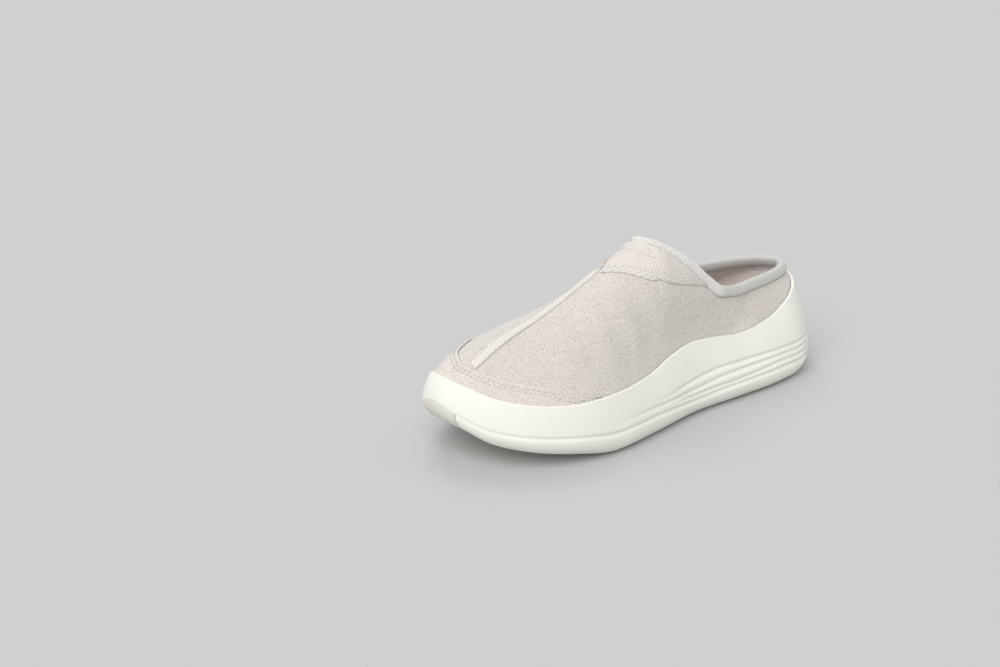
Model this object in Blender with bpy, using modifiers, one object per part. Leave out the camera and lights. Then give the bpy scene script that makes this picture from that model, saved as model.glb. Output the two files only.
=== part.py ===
"""Sneaker mule, left foot: foam cupsole, rubber pods, insole, hollow upper and its trims."""
import math

import bmesh
import bpy
import numpy as np

# Driving sizes of the shoe, metres. Toe at -Y, heel at +Y, outer side of the foot at +X.
LENGTH = 0.300            # foam, heel to toe
BALL_WIDTH = 0.108        # foam, across the ball
INSTEP_HEIGHT = 0.105     # floor to the top of the instep
HEEL_HEIGHT = 0.069       # floor to the collar at the heel
RIM_HEIGHT = 0.065        # height unit of the foam's tables, close to its rim at the heel
WALL = 0.002              # suede and lining together
TRIM = 0.0012             # tapes, toe cap and collar binding
GAP = 0.0003              # left between neighbouring pieces
LIP = 0.002               # thickness of the foam's rim
EDGE_RADIUS = 0.0097      # roll under the foam's lower edge
INSOLE_THICKNESS = 0.005
POD_THICKNESS = 0.0030
GROOVE = 0.0011           # depth of the grooves along the foam's wall
TAPE_WIDTH = 0.0075
TAPE_GAP = 0.0005         # under the centre tape, which bridges the crest's curve
BINDING_DROP = 0.0048     # how far the binding reaches down the collar

COLUMNS = 72              # round the shoe, column 0 at the heel, half of it at the toe
HALF = COLUMNS // 2
INSTEP = 19 / HALF         # where the collar's front edge meets the crest, share round the shoe

# Foam in plan: distance from the heel as a share of the length, sides as shares of half the ball
PLAN = (
    # along, outer, inner
    (0.000, 0.000, 0.000),
    (0.030, 0.410, 0.420),
    (0.100, 0.710, 0.743),
    (0.200, 0.823, 0.877),
    (0.320, 0.838, 0.800),
    (0.450, 0.838, 0.725),
    (0.580, 0.957, 0.820),
    (0.700, 1.047, 0.953),
    (0.800, 1.010, 0.953),
    (0.890, 0.810, 0.835),
    (0.955, 0.490, 0.585),
    (0.990, 0.150, 0.350),
)
TIP_SIDE = -0.040         # the toe's tip lies this share of half the ball towards the inside

# Heights along the foam as shares of RIM_HEIGHT
FOAM = (
    # along, underside, cup floor, rim
    (0.00, 0.155, 0.462, 0.938),
    (0.03, 0.105, 0.460, 0.912),
    (0.06, 0.058, 0.458, 0.874),
    (0.10, 0.018, 0.454, 0.822),
    (0.14, 0.000, 0.448, 0.765),
    (0.20, 0.000, 0.431, 0.675),
    (0.30, 0.000, 0.398, 0.615),
    (0.38, 0.000, 0.366, 0.655),
    (0.45, 0.000, 0.335, 0.680),
    (0.52, 0.000, 0.304, 0.640),
    (0.60, 0.000, 0.270, 0.557),
    (0.70, 0.000, 0.254, 0.533),
    (0.80, 0.074, 0.290, 0.538),
    (0.90, 0.152, 0.370, 0.585),
    (0.95, 0.212, 0.415, 0.644),
    (1.00, 0.375, 0.475, 0.755),
)

# How far the rim stands in from the plan outline, shares of half the ball
RIM_INSET = (
    # along, inset
    (0.00, 0.236),
    (0.25, 0.200),
    (0.50, 0.161),
    (0.75, 0.104),
    (0.93, 0.068),
    (1.00, 0.095),
)

# Heights of the four grooves above the underside (shares of the rim's height at the heel)
GROOVES = (
    # along, first, second, third, fourth
    (0.00, 0.092, 0.146, 0.200, 0.254),
    (0.05, 0.123, 0.177, 0.238, 0.300),
    (0.12, 0.185, 0.250, 0.312, 0.370),
    (0.20, 0.200, 0.266, 0.323, 0.380),
    (0.30, 0.192, 0.238, 0.318, 0.385),
    (0.38, 0.185, 0.228, 0.310, 0.392),
    (0.45, 0.174, 0.225, 0.285, 0.375),
    (0.52, 0.192, 0.240, 0.280, 0.350),
    (0.60, 0.212, 0.252, 0.290, 0.331),
    (0.68, 0.215, 0.254, 0.300, 0.338),
    (0.80, 0.192, 0.231, 0.277, 0.308),
    (1.00, 0.154, 0.185, 0.223, 0.262),
)

# Share of the full groove depth along the shoe
GROOVE_FADE = (
    # along, first, second, third, fourth
    (0.00, 0.6, 0.8, 0.8, 0.7),
    (0.10, 1.0, 1.0, 1.0, 1.0),
    (0.42, 1.0, 1.0, 1.0, 1.0),
    (0.50, 1.0, 0.6, 1.0, 0.7),
    (0.58, 1.0, 0.1, 0.8, 0.1),
    (0.68, 0.9, 0.0, 0.2, 0.0),
    (0.80, 0.7, 0.0, 0.0, 0.0),
    (0.94, 0.4, 0.0, 0.0, 0.0),
    (1.00, 0.3, 0.0, 0.0, 0.0),
)

# Top edge of the upper, by the share of the way from heel to toe round the shoe. The rows
# past each end are the mirror of their neighbours, so the edge crosses the middle square.
COLLAR = (
    # round, side (share of half the ball), along, height (share of the heel height)
    (-0.07, -0.153, 0.077, 1.000),
    (0.00, 0.000, 0.064, 1.003),
    (0.07, 0.153, 0.077, 1.000),
    (0.14, 0.289, 0.114, 0.998),
    (0.21, 0.382, 0.170, 0.996),
    (0.28, 0.440, 0.236, 0.993),
    (0.35, 0.474, 0.309, 0.997),
    (0.38, 0.472, 0.341, 1.034),
    (0.41, 0.441, 0.370, 1.129),
    (0.44, 0.382, 0.400, 1.253),
    (0.47, 0.290, 0.430, 1.370),
    (0.50, 0.150, 0.468, 1.478),
    (INSTEP, 0.000, 0.486, 1.507),
    (0.556, -0.150, 0.468, 1.478),
)

# Crest of the upper from the instep to the toe
CREST = (
    # round, along, height (share of the instep height)
    (INSTEP, 0.486, 0.990),
    (0.60, 0.583, 0.884),
    (0.70, 0.683, 0.758),
    (0.80, 0.765, 0.680),
    (0.90, 0.830, 0.648),
    (1.00, 0.873, 0.620),
)

# Lean of the upper as it leaves the rim and the way it arrives at its top edge
LEAN = (
    # round, lean (degrees from upright) outer, inner, arrival: side, along, up, handles outer, inner
    (0.00, 10.0, 10.0, 0.00, 0.20, 1.00, 0.30, 0.30),
    (0.14, 10.0, 10.0, -0.12, 0.14, 1.00, 0.30, 0.30),
    (0.28, 12.0, 12.0, -0.16, 0.00, 1.00, 0.33, 0.33),
    (0.35, 13.0, 13.0, -0.25, -0.05, 1.00, 0.34, 0.34),
    (0.41, 14.0, 14.0, -0.60, -0.20, 1.00, 0.36, 0.36),
    (0.44, 15.0, 15.0, -0.85, -0.25, 0.85, 0.38, 0.37),
    (0.47, 16.0, 17.0, -1.00, -0.25, 0.60, 0.39, 0.37),
    (INSTEP, 18.0, 20.0, -1.00, -0.17, 0.07, 0.39, 0.29),
    (0.60, 24.0, 28.0, -0.97, -0.24, 0.10, 0.38, 0.20),
    (0.70, 36.0, 34.0, -0.92, -0.36, 0.15, 0.38, 0.25),
    (0.80, 50.0, 31.0, -0.80, -0.55, 0.23, 0.37, 0.45),
    (0.90, 62.0, 36.0, -0.50, -0.80, 0.33, 0.36, 0.46),
    (1.00, 70.0, 70.0, 0.00, -1.00, 0.42, 0.36, 0.36),
)

# Rubber pod under the heel, its outline in plan
HEEL_POD = (
    # along (share of the length), side (share of half the ball, outer side positive)
    (0.036, 0.00),
    (0.048, 0.27),
    (0.090, 0.48),
    (0.160, 0.59),
    (0.240, 0.60),
    (0.305, 0.53),
    (0.335, 0.37),
    (0.325, 0.15),
    (0.292, -0.15),
    (0.252, -0.42),
    (0.205, -0.60),
    (0.147, -0.64),
    (0.083, -0.53),
    (0.046, -0.28),
)
POD_RINGS = 6
POD_CENTRE = (0.185, -0.02)

# Scooped arch on the inner side, its outline in plan
ARCH = (
    # along, side
    (0.335, -0.90),
    (0.350, -0.55),
    (0.395, -0.22),
    (0.450, -0.05),
    (0.510, -0.02),
    (0.560, -0.12),
    (0.595, -0.35),
    (0.612, -0.62),
    (0.615, -1.10),
    (0.335, -1.10),
)
ARCH_HEIGHT = 0.0075
ARCH_RIB = 0.0065         # pitch of the ribs in the arch
ARCH_WAVE = 0.0012

# Rubber pod round the toe
TOE_POD_START = 0.872
TOE_POD_HALF = 0.0150     # half its width at the foam's lower edge
TOE_POD_TOP = 0.44        # share of the foam's height at the toe that it climbs

# Toe cap seam: share of the way from the rim to the crest that the cap covers
CAP_EDGE = (
    # round, outer side, inner side
    (0.70, 0.030, 0.035),
    (0.75, 0.050, 0.085),
    (0.80, 0.090, 0.170),
    (0.84, 0.137, 0.260),
    (0.88, 0.178, 0.320),
    (0.92, 0.225, 0.345),
    (0.96, 0.300, 0.355),
    (1.00, 0.368, 0.368),
)

TAPE_SPLIT = 0.627        # along, where the centre tape parts into the two side tapes
TAPE_END = 0.926          # along, where the centre tape meets the toe cap

# The tape from the crest down to the front of the collar
SIDE_TAPE = (
    # round, upper edge, lower edge (shares of the way from the rim to the top)
    (0.437, 0.855, 0.765),
    (0.452, 0.805, 0.705),
    (0.475, 0.715, 0.610),
    (0.500, 0.640, 0.550),
    (0.520, 0.650, 0.560),
    (0.540, 0.710, 0.630),
    (0.560, 0.795, 0.712),
    (0.580, 0.885, 0.805),
    (0.600, 0.965, 0.890),
)


def column(table, index):
    """One named column of a table with the first column as its key."""
    keys = np.array([row[0] for row in table], float)
    values = np.array([row[index] for row in table], float)
    return keys, values


def smooth(keys, values, at):
    """Monotone cubic through the table's rows, flat where two rows agree."""
    at = np.clip(np.asarray(at, float), keys[0], keys[-1])
    step = np.diff(keys)
    rise = np.diff(values) / step
    slope = np.zeros(len(keys))
    for i in range(1, len(keys) - 1):
        if rise[i - 1] * rise[i] > 0:
            a = 2 * step[i] + step[i - 1]
            b = step[i] + 2 * step[i - 1]
            slope[i] = (a + b) / (a / rise[i - 1] + b / rise[i])
    slope[0] = rise[0]
    slope[-1] = rise[-1]
    k = np.clip(np.searchsorted(keys, at, side="right") - 1, 0, len(step) - 1)
    t = (at - keys[k]) / step[k]
    h = step[k]
    first = values[k] * (1 + 2 * t) * (1 - t) ** 2 + slope[k] * h * t * (1 - t) ** 2
    second = values[k + 1] * t * t * (3 - 2 * t) + slope[k + 1] * h * t * t * (t - 1)
    return first + second


def rounded(keys, values, at):
    """Cubic with free slopes, for a curve that should stay round at its rows."""
    at = np.clip(np.asarray(at, float), keys[0], keys[-1])
    slope = np.gradient(values, keys)
    step = np.diff(keys)
    k = np.clip(np.searchsorted(keys, at, side="right") - 1, 0, len(step) - 1)
    t = (at - keys[k]) / step[k]
    h = step[k]
    first = values[k] * (1 + 2 * t) * (1 - t) ** 2 + slope[k] * h * t * (1 - t) ** 2
    second = values[k + 1] * t * t * (3 - 2 * t) + slope[k + 1] * h * t * t * (t - 1)
    return first + second


def closed_curve(points, steps):
    """Closed curve through the points, with steps short pieces between each two."""
    points = np.asarray(points, float)
    count = len(points)
    out = []
    for i in range(count):
        p = [points[(i + k - 1) % count] for k in range(4)]
        t = [0.0]
        for k in range(3):
            t.append(t[-1] + math.sqrt(np.linalg.norm(p[k + 1] - p[k])))
        for s in np.linspace(t[1], t[2], steps, endpoint=False):
            a = [p[k] + (p[k + 1] - p[k]) * (s - t[k]) / (t[k + 1] - t[k]) for k in range(3)]
            b = [a[k] + (a[k + 1] - a[k]) * (s - t[k]) / (t[k + 2] - t[k]) for k in range(2)]
            out.append(b[0] + (b[1] - b[0]) * (s - t[1]) / (t[2] - t[1]))
    return np.array(out)


def half_plan(side):
    """Dense outline of one side of the foam, heel to toe: (side, along) in metres."""
    half = BALL_WIDTH / 2
    outer = [(row[1] * half, row[0] * LENGTH) for row in PLAN[1:]]
    inner = [(-row[2] * half, row[0] * LENGTH) for row in PLAN[:0:-1]]
    points = [(0.0, 0.0)] + outer + [(TIP_SIDE * half, LENGTH)] + inner
    dense = closed_curve(points, 16)
    tip = 16 * (len(outer) + 1)
    if side > 0:
        return dense[:tip + 1]
    return np.vstack([dense[:1], dense[:tip - 1:-1]])


def plan_at(side, round_share):
    """Points of the outline at shares of the way round one side, with inward normals."""
    line = half_plan(side)
    lengths = np.linalg.norm(np.diff(line, axis=0), axis=1)
    way = np.concatenate([[0.0], np.cumsum(lengths)])
    way = way / way[-1]
    share = np.asarray(round_share, float)
    x = np.interp(share, way, line[:, 0])
    y = np.interp(share, way, line[:, 1])
    reach = 0.012
    ahead = np.minimum(share + reach, 1.0)
    behind = np.maximum(share - reach, 0.0)
    dx = np.interp(ahead, way, line[:, 0]) - np.interp(behind, way, line[:, 0])
    dy = np.interp(ahead, way, line[:, 1]) - np.interp(behind, way, line[:, 1])
    size = np.hypot(dx, dy)
    nx = -side * dy / size
    ny = side * dx / size
    at_end = (share <= 0.0) | (share >= 1.0)
    nx = np.where(at_end, 0.0, nx)
    ny = np.where(share <= 0.0, 1.0, np.where(share >= 1.0, -1.0, ny))
    return np.stack([x, y], -1), np.stack([nx, ny], -1)


def foam_level(along, index):
    keys, values = column(FOAM, index)
    return smooth(keys, values, along) * RIM_HEIGHT


def rim_inset(along):
    keys, values = column(RIM_INSET, 1)
    return smooth(keys, values, along) * BALL_WIDTH / 2


def wall_inset(along, above):
    """How far the foam's outer face stands in from the plan at a height above its underside."""
    tall = foam_level(along, 3) - foam_level(along, 1)
    low = np.clip((EDGE_RADIUS - above) / EDGE_RADIUS, 0.0, 1.0)
    roll = EDGE_RADIUS * (1 - np.sqrt(1 - low ** 2))
    climb = np.clip((above - EDGE_RADIUS) / (tall - EDGE_RADIUS), 0.0, 1.0)
    return roll + rim_inset(along) * climb ** 1.6


def place(point, normal, inset, height):
    """Plan point moved inwards, lifted, and turned into the frame with the toe at -Y."""
    x = point[..., 0] + normal[..., 0] * inset
    y = point[..., 1] + normal[..., 1] * inset
    return np.stack([x, LENGTH / 2 - y, np.broadcast_to(height, x.shape)], -1)


def foam_rows(side, share):
    """Rows of the foam's outer face at the given shares round one side, bottom to rim."""
    point, normal = plan_at(side, share)
    along = np.clip(point[:, 1] / LENGTH, 0, 1)
    base = foam_level(along, 1)
    tall = foam_level(along, 3) - base
    groove = [smooth(*column(GROOVES, k), along) * RIM_HEIGHT for k in (1, 2, 3, 4)]
    fade = [smooth(*column(GROOVE_FADE, k), along) * GROOVE for k in (1, 2, 3, 4)]
    foot = groove[0] - 0.0022
    levels = [(0.0 * foot, 0.0 * foot), (0.16 * foot, 0.0 * foot), (0.52 * foot, 0.0 * foot)]
    levels.append((foot, 0.0 * foot))
    for k in range(4):
        levels.append((groove[k], fade[k]))
        if k < 3:
            levels.append(((groove[k] + groove[k + 1]) / 2, 0.0 * foot))
    top = groove[3]
    for part in (0.13, 0.38, 0.66, 0.88, 1.0):
        levels.append((top + (tall - top) * part, 0.0 * foot))
    return [place(point, normal, wall_inset(along, up) + cut, base + up) for up, cut in levels]


def cup_rows(side, share, clear):
    """Rows of the cup's inner face from the rim to the floor, moved in by clear."""
    point, normal = plan_at(side, share)
    along = np.clip(point[:, 1] / LENGTH, 0, 1)
    rim = foam_level(along, 3)
    floor = foam_level(along, 2)
    start = rim_inset(along) + LIP + clear
    return [
        place(point, normal, start, rim),
        place(point, normal, start + 0.0015, (rim + floor) / 2),
        place(point, normal, start + 0.0030, floor),
    ]


def upper_point(side, share, part, lift=0.0):
    """Outer surface of the upper above the rim: share round the shoe, part of the way up."""
    share = np.asarray(share, float)
    part = np.asarray(part, float)
    eps = 0.004
    spot = upper_base(side, share, part)
    if lift == 0.0:
        return spot
    du = upper_base(side, np.minimum(share + eps, 1.0), part)
    du = du - upper_base(side, np.maximum(share - eps, 0.0), part)
    dv = upper_base(side, share, np.minimum(part + eps, 1.0))
    dv = dv - upper_base(side, share, np.maximum(part - eps, 0.0))
    flat = (share >= 1.0 - eps)[..., None]
    du = np.where(flat, np.array([-side, 0.0, 0.0]), du)
    du = np.where((share <= eps)[..., None], np.array([side, 0.0, 0.0]), du)
    normal = np.cross(dv, du) * side
    middle = (share >= INSTEP - 1e-6) & (part >= 0.9999)
    normal[..., 0] = np.where(middle, 0.0, normal[..., 0])
    normal = normal / np.linalg.norm(normal, axis=-1, keepdims=True)
    return spot + normal * lift


def upper_base(side, share, part):
    point, normal = plan_at(side, share)
    along = np.clip(point[..., 1] / LENGTH, 0, 1)
    start = place(point, normal, rim_inset(along) + LIP + GAP, foam_level(along, 3))
    half = BALL_WIDTH / 2
    x = rounded(*column(COLLAR, 1), share) * half * side
    y = rounded(*column(COLLAR, 2), share) * LENGTH
    z = rounded(*column(COLLAR, 3), share) * HEEL_HEIGHT
    on_crest = share >= CREST[0][0]
    x = np.where(on_crest, 0.0, x)
    y = np.where(on_crest, rounded(*column(CREST, 1), share) * LENGTH, y)
    z = np.where(on_crest, rounded(*column(CREST, 2), share) * INSTEP_HEIGHT, z)
    end = np.stack([x, LENGTH / 2 - y, z], -1)
    lean = np.radians(smooth(*column(LEAN, 1 if side > 0 else 2), share))
    leave = np.stack([normal[..., 0] * np.sin(lean), -normal[..., 1] * np.sin(lean), np.cos(lean)], -1)
    arrive = np.stack([
        smooth(*column(LEAN, 3), share) * side,
        -smooth(*column(LEAN, 4), share),
        smooth(*column(LEAN, 5), share),
    ], -1)
    arrive = arrive / np.linalg.norm(arrive, axis=-1, keepdims=True)
    reach = np.linalg.norm(end - start, axis=-1) * smooth(*column(LEAN, 6 if side > 0 else 7), share)
    first = start + leave * reach[..., None]
    second = end - arrive * reach[..., None]
    t = part[..., None]
    return (start * (1 - t) ** 3 + first * 3 * t * (1 - t) ** 2
            + second * 3 * t * t * (1 - t) + end * t ** 3)


def clear_scene():
    for item in list(bpy.data.objects):
        bpy.data.objects.remove(item, do_unlink=True)
    for group in list(bpy.data.collections):
        bpy.data.collections.remove(group)


def material(name, colour, roughness):
    made = bpy.data.materials.new(name)
    made.use_nodes = True
    shader = made.node_tree.nodes["Principled BSDF"]
    shader.inputs["Base Color"].default_value = (*colour, 1.0)
    shader.inputs["Roughness"].default_value = roughness
    return made


def add_object(name, verts, faces, group, finish=None, merge=True):
    mesh = bpy.data.meshes.new(name)
    mesh.from_pydata([tuple(v) for v in verts], [], [tuple(f) for f in faces])
    item = bpy.data.objects.new(name, mesh)
    group.objects.link(item)
    if merge:
        weld = item.modifiers.new("weld", "WELD")
        weld.merge_threshold = 0.00002
        apply_modifiers(item)
    if finish is not None:
        item.data.materials.append(finish)
    item.data.shade_smooth()
    return item


def apply_modifiers(item):
    depsgraph = bpy.context.evaluated_depsgraph_get()
    mesh = bpy.data.meshes.new_from_object(item.evaluated_get(depsgraph))
    item.modifiers.clear()
    item.data = mesh


def ring(rows_outer, rows_inner):
    """One closed ring of COLUMNS points from the two sides' rows of HALF + 1 points."""
    return np.vstack([rows_outer, rows_inner[HALF - 1:0:-1]])


def ring_shares():
    return np.linspace(0.0, 1.0, HALF + 1)


def loft(rings, closed=True):
    """Faces between equal rings, in order; each ring runs the same way round."""
    count = len(rings[0])
    faces = []
    for k in range(len(rings) - 1):
        for i in range(count if closed else count - 1):
            j = (i + 1) % count
            faces.append((k * count + i, k * count + j, (k + 1) * count + j, (k + 1) * count + i))
    return faces


def across(start, count, flip):
    """Faces joining each column of a ring to its partner on the other side of the shoe."""
    half = count // 2
    faces = []
    for i in range(half):
        a = start + i
        b = start + i + 1
        c = start + (count - i - 1) % count
        d = start + (count - i) % count
        face = [a, b, c, d]
        face = [v for k, v in enumerate(face) if v not in face[:k]]
        faces.append(tuple(reversed(face)) if flip else tuple(face))
    return faces


def both_sides(function, *extra):
    share = ring_shares()
    outer = function(1, share, *extra)
    inner = function(-1, share, *extra)
    return [ring(a, b) for a, b in zip(outer, inner)]


def build_midsole(group, finish):
    rings = both_sides(foam_rows)
    lip = both_sides(cup_rows, 0.0)
    rim = rings[-1]
    crown = rim * 0.5 + lip[0] * 0.5
    crown[:, 2] += 0.0005
    rings = rings + [crown] + lip
    verts = np.vstack(rings)
    faces = loft(rings)
    faces += across(0, COLUMNS, True)
    faces += across((len(rings) - 1) * COLUMNS, COLUMNS, False)
    return add_object("midsole", verts, faces, group, finish)


def build_insole(group, finish):
    floor = both_sides(cup_rows, GAP + WALL + GAP + 0.0002)[-1]
    share = ring_shares()
    inset = 0.0012
    rings = []
    for lift, more in ((GAP, 0.0), (INSOLE_THICKNESS - 0.0010, 0.0), (INSOLE_THICKNESS + GAP, inset)):
        sides = []
        for side in (1, -1):
            point, normal = plan_at(side, share)
            along = np.clip(point[:, 1] / LENGTH, 0, 1)
            base = rim_inset(along) + LIP + GAP + WALL + GAP + 0.0033 + more
            sides.append(place(point, normal, base, foam_level(along, 2) + lift))
        rings.append(ring(*sides))
    verts = np.vstack(rings)
    faces = loft(rings) + across(0, COLUMNS, True) + across(2 * COLUMNS, COLUMNS, False)
    return add_object("insole", verts, faces, group, finish)


UPPER_PARTS = (0.0, 0.07, 0.16, 0.27, 0.39, 0.52, 0.65, 0.78, 0.89, 0.955, 1.0)


def build_upper(group, finish):
    share = ring_shares()
    hidden = both_sides(cup_rows, GAP)
    feather = hidden[2].copy()
    feather[:, 2] += GAP
    rings = [feather, hidden[1]]
    for part in UPPER_PARTS:
        sides = [upper_point(side, share, np.full(len(share), part)) for side in (1, -1)]
        rings.append(ring(*sides))
    verts = np.vstack(rings)
    faces = [tuple(reversed(face)) for face in loft(rings)]
    item = add_object("upper", verts, faces, group, None)
    shell = item.modifiers.new("wall", "SOLIDIFY")
    shell.thickness = WALL
    shell.offset = -1.0
    shell.use_even_offset = True
    shell.use_rim = True
    apply_modifiers(item)
    item.data.materials.append(finish)
    item.data.shade_smooth()
    return item


def patch(name, inner, outer, group, finish, closed=False):
    """Closed solid between two grids of points with the same rows and columns."""
    rows = len(inner)
    count = len(inner[0])
    verts = np.vstack(list(inner) + list(outer))
    far = rows * count
    faces = []
    for f in loft(inner, closed):
        faces.append(tuple(reversed(f)))
        faces.append(tuple(v + far for v in f))
    for i in range(count if closed else count - 1):
        j = (i + 1) % count
        faces.append((i, j, j + far, i + far))
        top = (rows - 1) * count
        faces.append((top + j, top + i, top + i + far, top + j + far))
    if not closed:
        for k in range(rows - 1):
            a = k * count
            b = (k + 1) * count
            faces.append((b, a, a + far, b + far))
            faces.append((a + count - 1, b + count - 1, b + count - 1 + far, a + count - 1 + far))
    return add_object(name, verts, faces, group, finish)


def build_toe_cap(group, finish):
    start = CAP_EDGE[0][0]
    share = np.linspace(start, 1.0, 13)
    tops = {side: smooth(*column(CAP_EDGE, 1 if side > 0 else 2), share) for side in (1, -1)}
    foot = 0.012 + 0.012 * (share - start) / (1 - start)
    layers = []
    for lift in (GAP, GAP + TRIM):
        grid = []
        for k in range(4):
            sides = []
            for side in (1, -1):
                part = foot + (tops[side] - foot) * k / 3
                sides.append(upper_point(side, share, part, lift))
            grid.append(np.vstack([sides[0], sides[1][-2::-1]]))
        layers.append(grid)
    return patch("toe_cap", layers[0], layers[1], group, finish)


def upper_over(x, along):
    """Share and part of the upper's surface straight above plan points, by Newton steps."""
    side = 1 if x >= 0 else -1
    shares, parts = np.meshgrid(np.linspace(0.55, 1.0, 61), np.linspace(0.35, 1.0, 41), indexing="ij")
    grid = upper_base(side, shares, parts)
    found = []
    for y in along:
        goal = np.array([x, LENGTH / 2 - y])
        gap = np.linalg.norm(grid[..., :2] - goal, axis=-1)
        best = np.unravel_index(np.argmin(gap), gap.shape)
        spot = np.array([shares[best], parts[best]])
        for _ in range(12):
            here = upper_base(side, spot[:1], spot[1:])[0, :2]
            step = 1e-4 if spot[0] < 0.999 else -1e-4
            right = (upper_base(side, spot[:1] + step, spot[1:])[0, :2] - here) / step
            rise = (upper_base(side, spot[:1], spot[1:] - 1e-4)[0, :2] - here) / -1e-4
            move = np.linalg.lstsq(np.stack([right, rise], 1), goal - here, rcond=None)[0]
            spot = np.clip(spot + np.clip(move, -0.05, 0.05), (0.53, 0.05), (1.0, 1.0))
        found.append(spot)
    return np.array(found)


def build_centre_tape(group, finish):
    along = np.linspace(TAPE_SPLIT, TAPE_END, 15) * LENGTH
    layers = []
    spots = {}
    for share_across in (-0.5, -0.25, 0.0, 0.25, 0.5):
        x = share_across * TAPE_WIDTH
        spots[x] = upper_over(x, along)
    for lift in (TAPE_GAP, TAPE_GAP + TRIM):
        grid = []
        for x, spot in spots.items():
            line = upper_point(1 if x >= 0 else -1, spot[:, 0], spot[:, 1], lift)
            if x == 0.0:
                line[:, 0] = 0.0
            grid.append(line)
        layers.append(grid)
    return patch("centre_tape", layers[0], layers[1], group, finish)


def build_side_tape(name, side, group, finish):
    share = np.linspace(SIDE_TAPE[0][0], SIDE_TAPE[-1][0], 13)
    upper = smooth(*column(SIDE_TAPE, 1), share)
    lower = smooth(*column(SIDE_TAPE, 2), share)
    layers = []
    for lift in (GAP, GAP + TRIM):
        layers.append([upper_point(side, share, lower + (upper - lower) * k / 2, lift) for k in range(3)])
    if side < 0:
        layers = [[row[::-1] for row in grid] for grid in layers]
    return patch(name, layers[0], layers[1], group, finish)


def build_binding(group, finish):
    """Rolled binding over the collar's edge: a closed band with a groove for the edge."""
    share = ring_shares()[:20]
    drop = []
    for side in (1, -1):
        rows = []
        for one in share:
            parts = np.linspace(1.0, 0.3, 40)
            line = upper_base(side, np.full(40, one), parts)
            way = np.concatenate([[0.0], np.cumsum(np.linalg.norm(np.diff(line, axis=0), axis=1))])
            rows.append(np.interp([BINDING_DROP, BINDING_DROP * 0.5, 0.0006], way, parts))
        drop.append(np.array(rows))
    rings = []
    profile = (
        # part index, lift from the outer surface
        (0, 2 * GAP), (0, 2 * GAP + TRIM), (1, 2 * GAP + TRIM * 1.25), (2, 2 * GAP + TRIM),
    )
    inner_profile = ((2, -WALL - 3 * GAP - TRIM), (1, -WALL - 3 * GAP - TRIM * 1.25),
                     (0, -WALL - 3 * GAP - TRIM), (0, -WALL - 3 * GAP))

    def closed(function):
        a = function(1)
        b = function(-1)
        return np.vstack([a, b[-2:0:-1]])

    def level(index, lift):
        out = closed(lambda side: upper_point(side, share, drop[0 if side > 0 else 1][:, index], lift))
        under = closed(lambda side: upper_base(side, share, drop[0 if side > 0 else 1][:, index]))
        spare = closed(lambda side: np.where(share > 0.49, 0.0005, 0.0)[:, None] * np.ones(3))
        way = out - under
        return out + way / np.linalg.norm(way, axis=1, keepdims=True) * spare

    top_out = level(2, 2 * GAP)
    top_in = level(2, -WALL - 3 * GAP)
    middle = (top_out + top_in) / 2
    edge = closed(lambda side: upper_base(side, share, np.ones(len(share))))
    down = closed(lambda side: upper_base(side, share, drop[0 if side > 0 else 1][:, 0]))
    up = edge - down
    up = up / np.linalg.norm(up, axis=1, keepdims=True)
    for index, lift in profile:
        rings.append(level(index, lift))
    rings.append(middle + up * (0.0006 + 2 * GAP + TRIM * 1.3))
    for index, lift in inner_profile:
        rings.append(level(index, lift))
    rings.append(top_in + up * (0.0006 + 2 * GAP))
    rings.append(top_out + up * (0.0006 + 2 * GAP))
    rings.append(rings[0])
    verts = np.vstack(rings)
    return add_object("collar_binding", verts, loft(rings), group, finish)


def pod_plan(grow):
    half = BALL_WIDTH / 2
    points = [(side * half, along * LENGTH) for along, side in HEEL_POD]
    line = closed_curve(points, 2)
    centre = np.array([POD_CENTRE[1] * half, POD_CENTRE[0] * LENGTH])
    away = line - centre
    size = np.linalg.norm(away, axis=1, keepdims=True)
    return centre, away * (size + grow) / size


def pod_ring(centre, away, share, lift):
    point = centre + away * share
    along = np.clip(point[:, 1] / LENGTH, 0, 1)
    height = foam_level(along, 1) + lift
    return np.stack([point[:, 0], LENGTH / 2 - point[:, 1], height], -1)


def build_heel_pod(group, finish):
    centre, away = pod_plan(0.0)
    rings = [pod_ring(centre, away, 1.0, POD_THICKNESS)]
    rings.append(pod_ring(centre, away, 1.0, 0.0))
    pitch = 0.88 / POD_RINGS
    for k in range(POD_RINGS):
        share = 0.94 - pitch * k
        rings.append(pod_ring(centre, away, share, 0.0))
        rings.append(pod_ring(centre, away, share - pitch * 0.14, 0.0008))
        rings.append(pod_ring(centre, away, share - pitch * 0.28, 0.0))
    rings.append(pod_ring(centre, away, 0.0, 0.0))
    top = pod_ring(centre, away, 0.0, POD_THICKNESS)
    rings.insert(0, pod_ring(centre, away, 0.72, POD_THICKNESS))
    rings.insert(0, pod_ring(centre, away, 0.45, POD_THICKNESS))
    rings.insert(0, top)
    return add_object("heel_pod", np.vstack(rings), loft(rings), group, finish)


def heel_pod_cutter(group):
    centre, away = pod_plan(GAP)
    rings = []
    for share, lift in ((0.0, -0.006), (1.0, -0.006), (1.0, POD_THICKNESS + GAP),
                        (0.72, POD_THICKNESS + GAP), (0.45, POD_THICKNESS + GAP),
                        (0.0, POD_THICKNESS + GAP)):
        rings.append(pod_ring(centre, away, share, lift))
    return add_object("heel_pod_recess", np.vstack(rings), loft(rings), group)


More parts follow.
